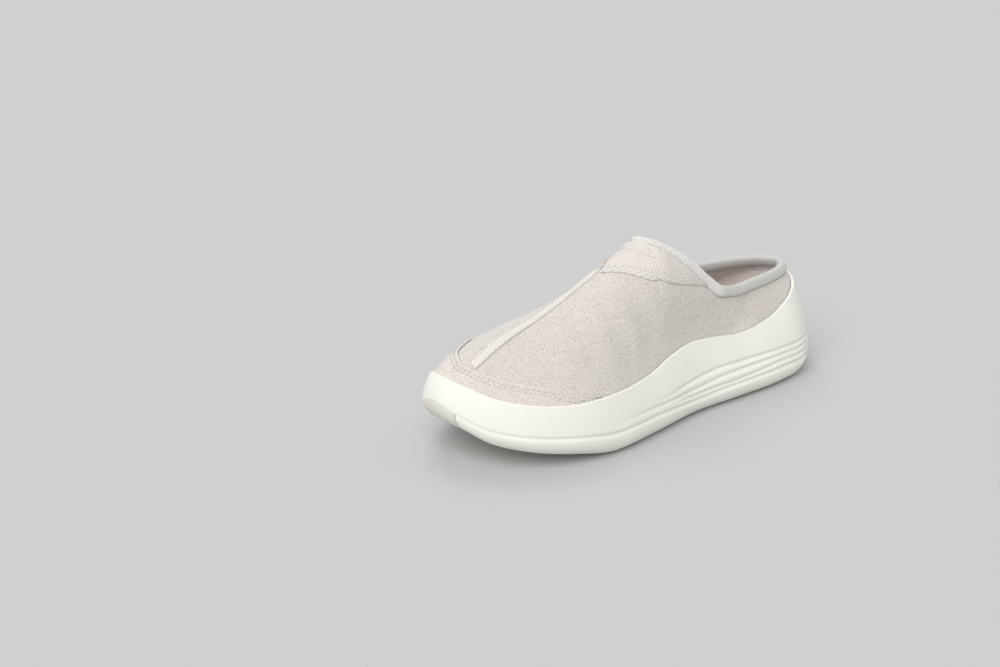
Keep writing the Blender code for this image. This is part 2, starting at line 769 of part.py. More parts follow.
def toe_pod_grid(grow, depth):
    """Grid over the toe: rows from the rear of the pod, under the toe and up its face."""
    half = TOE_POD_HALF + grow
    counts = 9
    across_shares = np.linspace(-1.0, 1.0, counts)
    arc = {}
    for side in (1, -1):
        line = half_plan(side)
        arc[side] = np.linalg.norm(np.diff(line, axis=0), axis=1).sum()
    rows = []
    start = TOE_POD_START * LENGTH - grow
    tall = foam_level(1.0, 3) - foam_level(1.0, 1)
    top = tall * TOE_POD_TOP + grow
    ups = np.array([0.0, 0.10, 0.28, 0.55, 1.0]) * top
    for k in range(6):
        share_along = k / 6
        row = []
        for c in across_shares:
            side = 1 if c >= 0 else -1
            end = toe_pod_edge(side, abs(c) * half, arc, 0.0, depth)
            rear = np.array([end[0] * 0.72, start + 0.008 * c ** 4])
            spot = rear + (end[:2] - rear) * share_along
            along = min(max(spot[1] / LENGTH, 0), 1)
            row.append((spot[0], LENGTH / 2 - spot[1], foam_level(along, 1) - depth))
        rows.append(np.array(row, float))
    for up in ups:
        row = []
        for c in across_shares:
            side = 1 if c >= 0 else -1
            narrow = 1.0 - 0.10 * up / top
            fall = 1.0 - 0.22 * c * c
            end = toe_pod_edge(side, abs(c) * half * narrow, arc, up * fall, depth)
            row.append((end[0], LENGTH / 2 - end[1], end[2]))
        rows.append(np.array(row, float))
    return rows


def toe_pod_edge(side, away, arc, up, depth):
    """Point of the foam's outer face near the tip, moved out by depth along its normal."""
    share = 1.0 - away / arc[side]
    point, normal = plan_at(side, np.array([share]))
    if away < 1e-6:
        normal = np.array([[0.0, -1.0]])
    along = np.clip(point[:, 1] / LENGTH, 0, 1)
    base = foam_level(along, 1)
    tilt = math.asin(min(1.0, max(0.0, (EDGE_RADIUS - up) / EDGE_RADIUS)))
    inset = wall_inset(along, np.array([up]))[0] - depth * math.cos(tilt)
    x = point[0, 0] + normal[0, 0] * inset
    y = point[0, 1] + normal[0, 1] * inset
    return np.array([x, y, base[0] + up - depth * math.sin(tilt)])


def build_toe_pod(group, finish):
    inner = toe_pod_grid(0.0, -0.0018)
    outer = toe_pod_grid(0.0, 0.0002)
    return patch("toe_pod", inner, outer, group, finish)


def toe_pod_cutter(group):
    inner = toe_pod_grid(GAP, -0.0018 - GAP)
    outer = toe_pod_grid(GAP, 0.0040)
    return patch("toe_pod_recess", inner, outer, group, None)


def arch_cutter(group):
    """Ribbed scoop: a block with a waved top, cut to the arch's outline."""
    half = BALL_WIDTH / 2
    steps = int(round(1.15 * half / (ARCH_RIB / 4)))
    xs = -1.12 * half + np.arange(steps + 1) * ARCH_RIB / 4
    wave = ARCH_HEIGHT + ARCH_WAVE * np.cos((xs - xs[0]) / ARCH_RIB * 2 * math.pi)
    ys = (0.325 * LENGTH, 0.625 * LENGTH)
    rings = []
    for y in ys:
        low = [(x, LENGTH / 2 - y, -0.006) for x in xs[::-1]]
        high = [(x, LENGTH / 2 - y, z) for x, z in zip(xs, wave)]
        rings.append(np.array(high + low))
    count = len(rings[0])
    faces = loft(rings)
    faces.append(tuple(range(count - 1, -1, -1)))
    faces.append(tuple(range(count, 2 * count)))
    block = add_object("arch_ribs", np.vstack(rings), faces, group, None, False)
    points = [(side * half, along * LENGTH) for along, side in ARCH]
    line = closed_curve(points[:8], 3)[:22]
    line = np.vstack([line, np.array([points[8], points[9]])])
    prism = []
    for z in (-0.010, 0.020):
        prism.append(np.array([(x, LENGTH / 2 - y, z) for x, y in line]))
    count = len(line)
    faces = loft(prism)
    faces.append(tuple(range(count - 1, -1, -1)))
    faces.append(tuple(range(count, 2 * count)))
    outline = add_object("arch_outline", np.vstack(prism), faces, group, None, False)
    outward(block)
    outward(outline)
    boolean(block, outline, "INTERSECT")
    return block


def outward(item):
    """Turn the faces of a closed mesh outwards if its volume comes out negative."""
    shape = bmesh.new()
    shape.from_mesh(item.data)
    bmesh.ops.recalc_face_normals(shape, faces=shape.faces)
    if shape.calc_volume(signed=True) < 0:
        bmesh.ops.reverse_faces(shape, faces=shape.faces)
    shape.to_mesh(item.data)
    shape.free()


def boolean(item, cutter, operation):
    step = item.modifiers.new("cut", "BOOLEAN")
    step.operation = operation
    step.solver = "EXACT"
    step.object = cutter
    apply_modifiers(item)


def centre_on_origin(pieces):
    """Slide the shoe sideways so that the origin is under the middle of its box."""
    sides = [vert.co.x for piece in pieces for vert in piece.data.vertices]
    middle = (min(sides) + max(sides)) / 2
    for piece in pieces:
        for vert in piece.data.vertices:
            vert.co.x -= middle
        piece.data.update()


def main():
    clear_scene()
    scene = bpy.context.scene
    group = bpy.data.collections.new("sneaker_mule")
    cutters = bpy.data.collections.new("cutters")
    scene.collection.children.link(group)
    scene.collection.children.link(cutters)

    foam = material("foam_off_white", (0.78, 0.76, 0.69), 0.60)
    rubber = material("rubber_light_grey", (0.70, 0.69, 0.63), 0.55)
    suede = material("suede_pinkish_grey", (0.60, 0.54, 0.52), 0.95)
    cap = material("suede_cap", (0.61, 0.55, 0.53), 0.95)
    tape = material("tape_cool_grey", (0.62, 0.61, 0.61), 0.85)
    side_tape_a = material("tape_cool_grey_outer", (0.62, 0.61, 0.61), 0.85)
    side_tape_b = material("tape_cool_grey_inner", (0.62, 0.61, 0.61), 0.85)
    binding = material("binding_grey", (0.55, 0.53, 0.53), 0.80)
    lining = material("insole_grey_mauve", (0.45, 0.40, 0.40), 0.90)
    toe_rubber = material("rubber_toe", (0.70, 0.69, 0.63), 0.55)

    midsole = build_midsole(group, foam)
    outward(midsole)
    pieces = [
        build_insole(group, lining),
        build_upper(group, suede),
        build_toe_cap(group, cap),
        build_centre_tape(group, tape),
        build_side_tape("side_tape_outer", 1, group, side_tape_a),
        build_side_tape("side_tape_inner", -1, group, side_tape_b),
        build_binding(group, binding),
        build_heel_pod(group, rubber),
        build_toe_pod(group, toe_rubber),
    ]
    for piece in pieces:
        outward(piece)
    for cutter in (heel_pod_cutter(cutters), toe_pod_cutter(cutters), arch_cutter(cutters)):
        outward(cutter)
        cutter.hide_render = True
        cutter.display_type = "WIRE"
        boolean(midsole, cutter, "DIFFERENCE")
    for item in list(cutters.objects):
        item.hide_render = True
        item.display_type = "WIRE"
    centre_on_origin(pieces + [midsole])


main()
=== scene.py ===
"""Sneaker mule, left foot: the looks of the shoe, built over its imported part.

Sizes are in metres. The toe points to -Y, the outer side of the foot is +X and the floor is z = 0.
"""

import math

import bpy
import numpy as np
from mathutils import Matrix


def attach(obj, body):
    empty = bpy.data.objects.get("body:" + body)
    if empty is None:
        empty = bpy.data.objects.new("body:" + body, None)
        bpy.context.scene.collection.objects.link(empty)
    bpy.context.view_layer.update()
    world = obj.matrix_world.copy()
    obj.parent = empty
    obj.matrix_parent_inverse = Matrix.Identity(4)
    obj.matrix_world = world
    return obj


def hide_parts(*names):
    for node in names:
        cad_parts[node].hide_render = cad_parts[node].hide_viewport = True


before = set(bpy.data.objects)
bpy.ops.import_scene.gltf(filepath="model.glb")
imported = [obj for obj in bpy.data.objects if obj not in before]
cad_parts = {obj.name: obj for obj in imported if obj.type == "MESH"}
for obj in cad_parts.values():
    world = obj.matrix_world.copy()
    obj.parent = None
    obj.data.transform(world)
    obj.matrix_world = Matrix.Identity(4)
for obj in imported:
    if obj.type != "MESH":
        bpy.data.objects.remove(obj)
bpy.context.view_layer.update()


# Midsole: one moulding of soft off-white foam with a thin rim that cups the upper.
# The wall is moulded with four grooves that fan out to the heel, and the underside
# with contour rings under the ball of the foot and a ribbed scoop under the arch.
LENGTH = 0.300
HALF_BALL = 0.054
RIM_UNIT = 0.065
EDGE_ROLL = 0.0097
LIP = 0.002
GAP = 0.0003
GROOVE_DEPTH = 0.0011
GROOVE_HALF = 0.0019
SIDE_SHIFT = 0.00227      # the part stands with the middle of its box on the origin
TIP_SIDE = -0.040
ROUND_STEPS = 480
WALL_STEPS = 96
TREAD_STEPS = 92

PLAN = (
    # along, outer, inner
    (0.000, 0.000, 0.000),
    (0.030, 0.410, 0.420),
    (0.100, 0.710, 0.743),
    (0.200, 0.823, 0.877),
    (0.320, 0.838, 0.800),
    (0.450, 0.838, 0.725),
    (0.580, 0.957, 0.820),
    (0.700, 1.047, 0.953),
    (0.800, 1.010, 0.953),
    (0.890, 0.810, 0.835),
    (0.955, 0.490, 0.585),
    (0.990, 0.150, 0.350),
)
FOAM = (
    # along, underside, cup floor, rim
    (0.00, 0.155, 0.462, 0.938),
    (0.03, 0.105, 0.460, 0.912),
    (0.06, 0.058, 0.458, 0.874),
    (0.10, 0.018, 0.454, 0.822),
    (0.14, 0.000, 0.448, 0.765),
    (0.20, 0.000, 0.431, 0.675),
    (0.30, 0.000, 0.398, 0.615),
    (0.38, 0.000, 0.366, 0.655),
    (0.45, 0.000, 0.335, 0.680),
    (0.52, 0.000, 0.304, 0.640),
    (0.60, 0.000, 0.270, 0.557),
    (0.70, 0.000, 0.254, 0.533),
    (0.80, 0.074, 0.290, 0.538),
    (0.90, 0.152, 0.370, 0.585),
    (0.95, 0.212, 0.415, 0.644),
    (1.00, 0.375, 0.475, 0.755),
)
RIM_INSET = (
    # along, inset
    (0.00, 0.236),
    (0.25, 0.200),
    (0.50, 0.161),
    (0.75, 0.104),
    (0.93, 0.068),
    (1.00, 0.095),
)
GROOVES = (
    # along, heights of the first, second, third and fourth groove
    (0.00, 0.092, 0.146, 0.200, 0.254),
    (0.05, 0.123, 0.177, 0.238, 0.300),
    (0.12, 0.185, 0.250, 0.312, 0.370),
    (0.20, 0.200, 0.266, 0.323, 0.380),
    (0.30, 0.192, 0.238, 0.318, 0.385),
    (0.38, 0.185, 0.228, 0.310, 0.392),
    (0.45, 0.174, 0.225, 0.285, 0.375),
    (0.52, 0.192, 0.240, 0.280, 0.350),
    (0.60, 0.212, 0.252, 0.290, 0.331),
    (0.68, 0.215, 0.254, 0.300, 0.338),
    (0.80, 0.192, 0.231, 0.277, 0.308),
    (1.00, 0.154, 0.185, 0.223, 0.262),
)
GROOVE_FADE = (
    # along, share of the depth of each groove
    (0.00, 0.6, 0.8, 0.8, 0.7),
    (0.10, 1.0, 1.0, 1.0, 1.0),
    (0.42, 1.0, 1.0, 1.0, 1.0),
    (0.50, 1.0, 0.6, 1.0, 0.7),
    (0.58, 1.0, 0.1, 0.8, 0.1),
    (0.68, 0.9, 0.0, 0.2, 0.0),
    (0.80, 0.7, 0.0, 0.0, 0.0),
    (0.94, 0.4, 0.0, 0.0, 0.0),
    (1.00, 0.3, 0.0, 0.0, 0.0),
)
ARCH = (
    # along, side: the scoop under the arch, open at the inner side
    (0.335, -0.90),
    (0.350, -0.55),
    (0.395, -0.22),
    (0.450, -0.05),
    (0.510, -0.02),
    (0.560, -0.12),
    (0.595, -0.35),
    (0.612, -0.62),
    (0.615, -1.10),
    (0.335, -1.10),
)
ARCH_HEIGHT = 0.0075
ARCH_RIB = 0.0065
ARCH_WAVE = 0.0012
RING_CENTRE = (-0.40, 0.775)   # side and along of the contour rings under the ball
RING_PITCH = 0.0062
RING_DEPTH = 0.0008


def row_values(table, column, at):
    """Monotone cubic through one column of a table, keyed by its first column."""
    keys = np.array([row[0] for row in table], float)
    values = np.array([row[column] for row in table], float)
    at = np.clip(np.asarray(at, float), keys[0], keys[-1])
    step = np.diff(keys)
    rise = np.diff(values) / step
    slope = np.zeros(len(keys))
    for i in range(1, len(keys) - 1):
        if rise[i - 1] * rise[i] > 0:
            a = 2 * step[i] + step[i - 1]
            b = step[i] + 2 * step[i - 1]
            slope[i] = (a + b) / (a / rise[i - 1] + b / rise[i])
    slope[0] = rise[0]
    slope[-1] = rise[-1]
    return hermite(keys, values, slope, at)


def hermite(keys, values, slope, at):
    step = np.diff(keys)
    k = np.clip(np.searchsorted(keys, at, side="right") - 1, 0, len(step) - 1)
    t = (at - keys[k]) / step[k]
    h = step[k]
    first = values[k] * (1 + 2 * t) * (1 - t) ** 2 + slope[k] * h * t * (1 - t) ** 2
    second = values[k + 1] * t * t * (3 - 2 * t) + slope[k + 1] * h * t * t * (t - 1)
    return first + second


def closed_curve(points, steps):
    """Closed round curve through the points, with steps short pieces between each two."""
    points = np.asarray(points, float)
    count = len(points)
    out = []
    for i in range(count):
        p = [points[(i + k - 1) % count] for k in range(4)]
        t = [0.0]
        for k in range(3):
            t.append(t[-1] + math.sqrt(np.linalg.norm(p[k + 1] - p[k])))
        for s in np.linspace(t[1], t[2], steps, endpoint=False):
            a = [p[k] + (p[k + 1] - p[k]) * (s - t[k]) / (t[k + 1] - t[k]) for k in range(3)]
            b = [a[k] + (a[k + 1] - a[k]) * (s - t[k]) / (t[k + 2] - t[k]) for k in range(2)]
            out.append(b[0] + (b[1] - b[0]) * (s - t[1]) / (t[2] - t[1]))
    return np.array(out)


def trace_halves():
    """Both sides of the foam's outline in plan, heel to toe, with the share of the way round."""
    outer = [(row[1] * HALF_BALL, row[0] * LENGTH) for row in PLAN[1:]]
    inner = [(-row[2] * HALF_BALL, row[0] * LENGTH) for row in PLAN[:0:-1]]
    steps = 48
    points = [(0.0, 0.0)] + outer + [(TIP_SIDE * HALF_BALL, LENGTH)] + inner
    dense = closed_curve(points, steps)
    tip = steps * (len(outer) + 1)
    halves = {}
    for side, line in ((1, dense[:tip + 1]), (-1, np.vstack([dense[:1], dense[:tip - 1:-1]]))):
        way = np.concatenate([[0.0], np.cumsum(np.linalg.norm(np.diff(line, axis=0), axis=1))])
        halves[side] = (line, way / way[-1], way[-1])
    return halves


def past_ends(halves, side):
    """One side's outline with a little of the other side added past the heel and the toe."""
    line, way, size = halves[side]
    other, other_way, other_size = halves[-side]
    spare = 40
    before = -other_way[spare:0:-1] * other_size / size
    after = 1 + (1 - other_way[-2:-spare - 2:-1]) * other_size / size
    return (np.vstack([other[spare:0:-1], line, other[-2:-spare - 2:-1]]),
            np.concatenate([before, way, after]))


halves = trace_halves()
long_halves = {side: past_ends(halves, side) for side in (1, -1)}
NORMAL_REACH = 0.0036


def outline_at(side, share):
    """Points of the outline at shares of the way round one side, with inward normals."""
    line, way = long_halves[side]
    share = np.asarray(share, float)
    x = np.interp(share, way, line[:, 0])
    y = np.interp(share, way, line[:, 1])
    reach = NORMAL_REACH / halves[side][2]
    dx = np.interp(share + reach, way, line[:, 0]) - np.interp(share - reach, way, line[:, 0])
    dy = np.interp(share + reach, way, line[:, 1]) - np.interp(share - reach, way, line[:, 1])
    size = np.hypot(dx, dy)
    return np.stack([x, y], -1), np.stack([-side * dy / size, side * dx / size], -1)


def foam_level(along, column):
    return row_values(FOAM, column, along) * RIM_UNIT


def rim_inset(along):
    return row_values(RIM_INSET, 1, along) * HALF_BALL


def wall_inset(along, above):
    """How far the foam's outer face stands in from the outline at a height above its underside."""
    tall = foam_level(along, 3) - foam_level(along, 1)
    low = np.clip((EDGE_ROLL - above) / EDGE_ROLL, 0.0, 1.0)
    roll = EDGE_ROLL * (1 - np.sqrt(1 - low ** 2))
    climb = np.clip((above - EDGE_ROLL) / (tall - EDGE_ROLL), 0.0, 1.0)
    return roll + rim_inset(along) * climb ** 1.6


def stand(point, normal, inset, height):
    """A point of the plan moved inwards, lifted, and turned into the part's frame."""
    x = point[..., 0] + normal[..., 0] * inset - SIDE_SHIFT
    y = point[..., 1] + normal[..., 1] * inset
    return np.stack([x, LENGTH / 2 - y, np.broadcast_to(height, x.shape)], -1)


def all_round(function, u, *rest):
    """Runs a function of side and share for places all round the shoe, 0 and 1 at the heel."""
    made = np.empty((len(u), 3))
    for side, here, share in ((1, u <= 0.5, 2 * u), (-1, u > 0.5, 2 - 2 * u)):
        made[here] = function(side, share[here], *[r[here] for r in rest])
    return made


def trough(distance, half):
    return np.clip(1 - (distance / half) ** 2, 0, 1) ** 2


def ramp(value, start, end):
    t = np.clip((value - start) / (end - start), 0, 1)
    return t * t * (3 - 2 * t)


def inside_distance(x, y, line):
    """Distance from plan points to a closed outline, positive inside it."""
    away = np.full(x.shape, 1e9)
    inside = np.zeros(x.shape, bool)
    for a, b in zip(line, np.roll(line, -1, axis=0)):
        d = b - a
        t = np.clip(((x - a[0]) * d[0] + (y - a[1]) * d[1]) / max(d @ d, 1e-18), 0, 1)
        away = np.minimum(away, np.hypot(x - a[0] - t * d[0], y - a[1] - t * d[1]))
        crossing = (a[1] > y) != (b[1] > y)
        slant = a[0] + (y - a[1]) * d[0] / (d[1] if d[1] else 1e-18)
        inside ^= crossing & (x < slant)
    return np.where(inside, away, -away)


arch_points = [(side * HALF_BALL, along * LENGTH) for along, side in ARCH]
arch_line = np.vstack([closed_curve(arch_points[:8], 8)[:57], arch_points[8], arch_points[9]])


def scooped(spots):
    """Lifts the foam's points into the ribbed scoop under the arch."""
    x = spots[:, 0] + SIDE_SHIFT
    y = LENGTH / 2 - spots[:, 1]
    near = (y > 0.32 * LENGTH) & (y < 0.63 * LENGTH) & (x < 0.01) & (spots[:, 2] < 0.012)
    deep = np.zeros(len(x))
    deep[near] = inside_distance(x[near], y[near], arch_line)
    rib = ARCH_WAVE * np.cos((x + 1.12 * HALF_BALL) / ARCH_RIB * 2 * math.pi)
    roof = (ARCH_HEIGHT + rib) * ramp(deep, 0.0, 0.0022)
    spots[:, 2] = np.maximum(spots[:, 2], np.where(near & (deep > 0), roof, 0.0))
    return spots


def foam_wall(side, share, v):
    """The foam's outer face from its lower edge (v 0) over the rim (0.8 to 0.9) to the cup floor."""
    point, normal = outline_at(side, share)
    along = np.clip(point[:, 1] / LENGTH, 0, 1)
    base = foam_level(along, 1)
    rim = foam_level(along, 3)
    tall = rim - base
    turn = np.clip(v / 0.12, 0, 1) * math.pi / 2
    up = EDGE_ROLL * (1 - np.cos(turn)) + (tall - EDGE_ROLL) * np.clip((v - 0.12) / 0.70, 0, 1)
    inset = wall_inset(along, up)
    for k in range(4):
        level = row_values(GROOVES, k + 1, along) * RIM_UNIT
        depth = row_values(GROOVE_FADE, k + 1, along) * GROOVE_DEPTH
        inset = inset + depth * trough(up - level, GROOVE_HALF)
    over = np.clip((v - 0.82) / 0.10, 0, 1) * math.pi
    down = np.clip((v - 0.92) / 0.08, 0, 1)
    top = rim_inset(along) + LIP / 2 - np.cos(over) * LIP / 2 + down * 0.0030
    height = base + up
    floor = foam_level(along, 2)
    crown = rim + 0.0008 * np.sin(over)
    height = np.where(v > 0.82, np.where(v > 0.92, rim + (floor - rim) * down, crown), height)
    inset = np.where(v > 0.82, top, inset)
    return stand(point, normal, inset, height)


def sheet_between(s, t, v):
    """Points between the two sides' rows of the foam: s heel to toe, t outer to inner."""
    outer = foam_wall(1, s, np.full(len(s), v))
    inner = foam_wall(-1, s, np.full(len(s), v))
    return outer + (inner - outer) * t[:, None]


def pick_only(item):
    bpy.ops.object.select_all(action="DESELECT")
    item.select_set(True)
    bpy.context.view_layer.objects.active = item


def shaped_grid(name, columns, rows, spot):
    """A grid primitive whose points are set by a function of its own u and v, both 0 to 1."""
    bpy.ops.object.select_all(action="DESELECT")
    bpy.ops.mesh.primitive_grid_add(x_subdivisions=columns, y_subdivisions=rows, size=2)
    item = bpy.context.active_object
    item.name = name
    item.data.name = name
    flat = np.empty(len(item.data.vertices) * 3)
    item.data.vertices.foreach_get("co", flat)
    flat = flat.reshape(-1, 3)
    u = np.clip(np.round(flat[:, 0] / 2 + 0.5, 7), 0, 1)
    v = np.clip(np.round(flat[:, 1] / 2 + 0.5, 7), 0, 1)
    item.data.vertices.foreach_set("co", spot(u, v).ravel())
    item.data.update()
    return item


def joined(first, *others):
    pick_only(first)
    for other in others:
        other.select_set(True)
    bpy.ops.object.join()
    return first


def closed_up(item, reach=0.00001):
    """Merges doubled points and turns the faces of a closed mesh outwards."""
    pick_only(item)
    bpy.ops.object.mode_set(mode="EDIT")
    bpy.ops.mesh.select_all(action="SELECT")
    bpy.ops.mesh.remove_doubles(threshold=reach)
    bpy.ops.mesh.normals_make_consistent(inside=False)
    bpy.ops.object.mode_set(mode="OBJECT")
    bpy.ops.object.shade_smooth()
    return item


def tread_sheet(u, v):
    spots = sheet_between(v, u, 0.0)
    x = spots[:, 0] + SIDE_SHIFT
    y = LENGTH / 2 - spots[:, 1]
    dx = x - RING_CENTRE[0] * HALF_BALL
    dy = y - RING_CENTRE[1] * LENGTH
    stretch = 1.0 + 0.30 * ramp(-dy, 0.0, 0.05) - 0.10 * ramp(dx, 0.0, 0.05)
    away = np.hypot(dx * 0.92, dy) / stretch
    wave = np.cos(away / RING_PITCH * 2 * math.pi)
    fade = ramp(away, 0.060, 0.040) * ramp(np.minimum(u, 1 - u), 0.01, 0.06)
    spots[:, 2] += RING_DEPTH * (0.5 - 0.5 * wave) ** 3 * fade * ramp(away, -0.001, 0.002)
    return scooped(spots)


foam = shaped_grid("midsole_foam", ROUND_STEPS, WALL_STEPS, lambda u, v: scooped(all_round(foam_wall, u, v)))
tread = shaped_grid("tread", TREAD_STEPS, ROUND_STEPS // 2, tread_sheet)
cup = shaped_grid("cup", 24, ROUND_STEPS // 2, lambda u, v: sheet_between(v, u, 1.0))
foam = closed_up(joined(foam, tread, cup))


class Signal:
    """A number, colour or vector on its way through a material, on which sums can be written."""

    def __init__(self, tree, socket=None):
        self.tree = tree
        self.socket = socket

    def node(self, kind, settings, inputs, output=0):
        """Adds a node: its settings first, then the values or links of its sockets."""
        made = self.tree.nodes.new(kind)
        for key, value in settings.items():
            if key == "stops":
                stops = made.color_ramp.elements
                while len(stops) < len(value):
                    stops.new(0.5)
                for stop, (place, colour) in zip(stops, value):
                    stop.position = place
                    stop.color = (*colour, 1.0)
            else:
                setattr(made, key, value)
        for key, value in inputs.items():
            self.feed(made.inputs[key], value)
        return Signal(self.tree, made.outputs[output])

    def feed(self, socket, value):
        if isinstance(value, Signal):
            self.tree.links.new(value.socket, socket)
        else:
            socket.default_value = value

    def sum(self, operation, first, second=0.0):
        return self.node("ShaderNodeMath", {"operation": operation}, {0: first, 1: second})

    def __add__(self, other):
        return self.sum("ADD", self, other)

    def __radd__(self, other):
        return self.sum("ADD", other, self)

    def __sub__(self, other):
        return self.sum("SUBTRACT", self, other)

    def __rsub__(self, other):
        return self.sum("SUBTRACT", other, self)

    def __mul__(self, other):
        return self.sum("MULTIPLY", self, other)

    def __rmul__(self, other):
        return self.sum("MULTIPLY", other, self)

    def __truediv__(self, other):
        return self.sum("DIVIDE", self, other)

    def __pow__(self, other):
        return self.sum("POWER", self, other)

    def sine(self):
        return self.sum("SINE", self)

    def size(self):
        return self.sum("ABSOLUTE", self)

    def step(self, start, end):
        """0 below start, 1 above end, and smooth between them."""
        return self.node("ShaderNodeMapRange", {"interpolation_type": "SMOOTHSTEP"},
                         {"Value": self, "From Min": start, "From Max": end})

    def tint(self, low, high):
        """A colour that runs from low to high as the number goes from 0 to 1."""
        return self.node("ShaderNodeMix", {"data_type": "RGBA"},
                         {0: self, 6: (*low, 1.0), 7: (*high, 1.0)}, 2)

    def blend(self, low, high):
        return self.node("ShaderNodeMix", {"data_type": "RGBA"}, {0: self, 6: low, 7: high}, 2)


class Finish(Signal):
    """A new material: its places on the object, its noises and its shader's sockets."""

    def __init__(self, name, **steady):
        self.material = bpy.data.materials.new(name)
        self.material.use_nodes = True
        super().__init__(self.material.node_tree)
        self.shader = self.tree.nodes["Principled BSDF"]
        for key, value in steady.items():
            self.shader.inputs[key.replace("_", " ")].default_value = value
        self.place = self.node("ShaderNodeTexCoord", {}, {}, "Object")

    def noise(self, scale, detail=2.0, rough=0.5):
        return self.node("ShaderNodeTexNoise", {},
                         {"Vector": self.place, "Scale": scale, "Detail": detail, "Roughness": rough})

    def own_map(self):
        spot = self.node("ShaderNodeTexCoord", {}, {}, "UV")
        return [self.node("ShaderNodeSeparateXYZ", {}, {0: spot}, k) for k in range(2)]

    def marked(self, name):
        return self.node("ShaderNodeAttribute", {"attribute_name": name}, {}, "Fac")

    def relief(self, height, distance, strength=1.0):
        bump = self.node("ShaderNodeBump", {}, {"Height": height, "Distance": distance, "Strength": strength})
        self.feed(self.shader.inputs["Normal"], bump)

    def wear_on(self, item):
        item.data.materials.clear()
        item.data.materials.append(self.material)


foam_finish = Finish("foam_off_white", Roughness=0.50, Specular_IOR_Level=0.35)
skin = foam_finish.noise(55.0, 3.0)
foam_finish.feed(foam_finish.shader.inputs["Base Color"],
                 skin.tint((0.830, 0.827, 0.760), (0.868, 0.865, 0.802)))
foam_finish.feed(foam_finish.shader.inputs["Roughness"], foam_finish.noise(400.0) * 0.12 + 0.44)
foam_finish.relief(foam_finish.noise(1600.0, 2.0), 0.00004, 0.5)
foam_finish.wear_on(foam)
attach(foam, "root")
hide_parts("midsole")


# Heel pod: a rounded triangle of harder, slightly greyer rubber let into the heel's underside.
# Its face is moulded with rings that follow its outline, and its edge rolls into the foam.
HEEL_POD = (
    # along, side
    (0.036, 0.00),
    (0.048, 0.27),
    (0.090, 0.48),
    (0.160, 0.59),
    (0.240, 0.60),
    (0.305, 0.53),
    (0.335, 0.37),
    (0.325, 0.15),
    (0.292, -0.15),
    (0.252, -0.42),
    (0.205, -0.60),
    (0.147, -0.64),
    (0.083, -0.53),
    (0.046, -0.28),
)
POD_CENTRE = (0.185, -0.02)
POD_RINGS = 7
POD_GROOVE = 0.0010
POD_PROUD = 0.0004


def tread_lines():
    share = np.linspace(0, 1, 1601)
    ends = [foam_wall(side, share, np.zeros(len(share))) for side in (1, -1)]
    return share, ends[0], ends[1]


tread_share, tread_outer, tread_inner = tread_lines()


def tread_height(x, y):
    """Height of the foam's plain underside above plan points, by halving along the shoe."""
    low = np.zeros(x.shape)
    high = np.ones(x.shape)
    for _ in range(24):
        mid = (low + high) / 2
        a = np.stack([np.interp(mid, tread_share, tread_outer[:, k]) for k in range(3)], -1)
        b = np.stack([np.interp(mid, tread_share, tread_inner[:, k]) for k in range(3)], -1)
        beyond = (x - a[..., 0]) * (b[..., 1] - a[..., 1]) - (y - a[..., 1]) * (b[..., 0] - a[..., 0])
        ahead = beyond * np.sign(b[..., 0] - a[..., 0] + 1e-12) > 0
        low = np.where(ahead, mid, low)
        high = np.where(ahead, high, mid)
    t = np.clip((x - a[..., 0]) / (b[..., 0] - a[..., 0] + 1e-12), 0, 1)
    return a[..., 2] + (b[..., 2] - a[..., 2]) * t


pod_line = closed_curve([(side * HALF_BALL, along * LENGTH) for along, side in HEEL_POD], 20)
pod_centre = np.array([POD_CENTRE[1] * HALF_BALL, POD_CENTRE[0] * LENGTH])
pod_way = np.linspace(0, 1, len(pod_line) + 1)
pod_closed = np.vstack([pod_line, pod_line[:1]])


def heel_pod_face(u, v):
    edge = np.stack([np.interp(u, pod_way, pod_closed[:, k]) for k in range(2)], -1)
    spot = pod_centre + (edge - pod_centre) * v[:, None]
    x = spot[:, 0] - SIDE_SHIFT
    y = LENGTH / 2 - spot[:, 1]
    pitch = 1.0 / POD_RINGS
    ring = np.abs((v / pitch + 0.5) % 1.0 - 0.5) * pitch
    groove = POD_GROOVE * trough(ring, 0.045) * (v < 0.96) * (v > 0.03)
    rolled = 0.0011 * ramp(v, 0.965, 1.0) ** 2
    return np.stack([x, y, tread_height(x, y) - POD_PROUD + groove + rolled], -1)


def thicken(item, thickness):
    """Gives a sheet its thickness on the side away from where its faces point."""
    pick_only(item)
    wall = item.modifiers.new("wall", "SOLIDIFY")
    wall.thickness = thickness
    wall.offset = -1.0
    bpy.ops.object.modifier_apply(modifier=wall.name)
    bpy.ops.object.shade_smooth()
    return item


def facing(item, towards, reach=0.00003):
    """Merges doubled points and turns a sheet's faces to the side that the function names."""
    pick_only(item)
    bpy.ops.object.mode_set(mode="EDIT")
    bpy.ops.mesh.select_all(action="SELECT")
    bpy.ops.mesh.remove_doubles(threshold=reach)
    bpy.ops.mesh.normals_make_consistent(inside=False)
    bpy.ops.object.mode_set(mode="OBJECT")
    faces = item.data.polygons
    normals = np.array([f.normal for f in faces]).reshape(-1, 3)
    centres = np.array([f.center for f in faces]).reshape(-1, 3)
    sizes = np.array([f.area for f in faces])
    if (np.einsum("ij,ij->i", normals, towards(centres)) * sizes).sum() < 0:
        bpy.ops.object.mode_set(mode="EDIT")
        bpy.ops.mesh.select_all(action="SELECT")
        bpy.ops.mesh.flip_normals()
        bpy.ops.object.mode_set(mode="OBJECT")
    bpy.ops.object.shade_smooth()
    return item


def downwards(centres):
    return np.tile([0.0, 0.0, -1.0], (len(centres), 1))


heel_pod = shaped_grid("heel_pod_rubber", 240, 110, heel_pod_face)
thicken(facing(heel_pod, downwards), 0.0026)

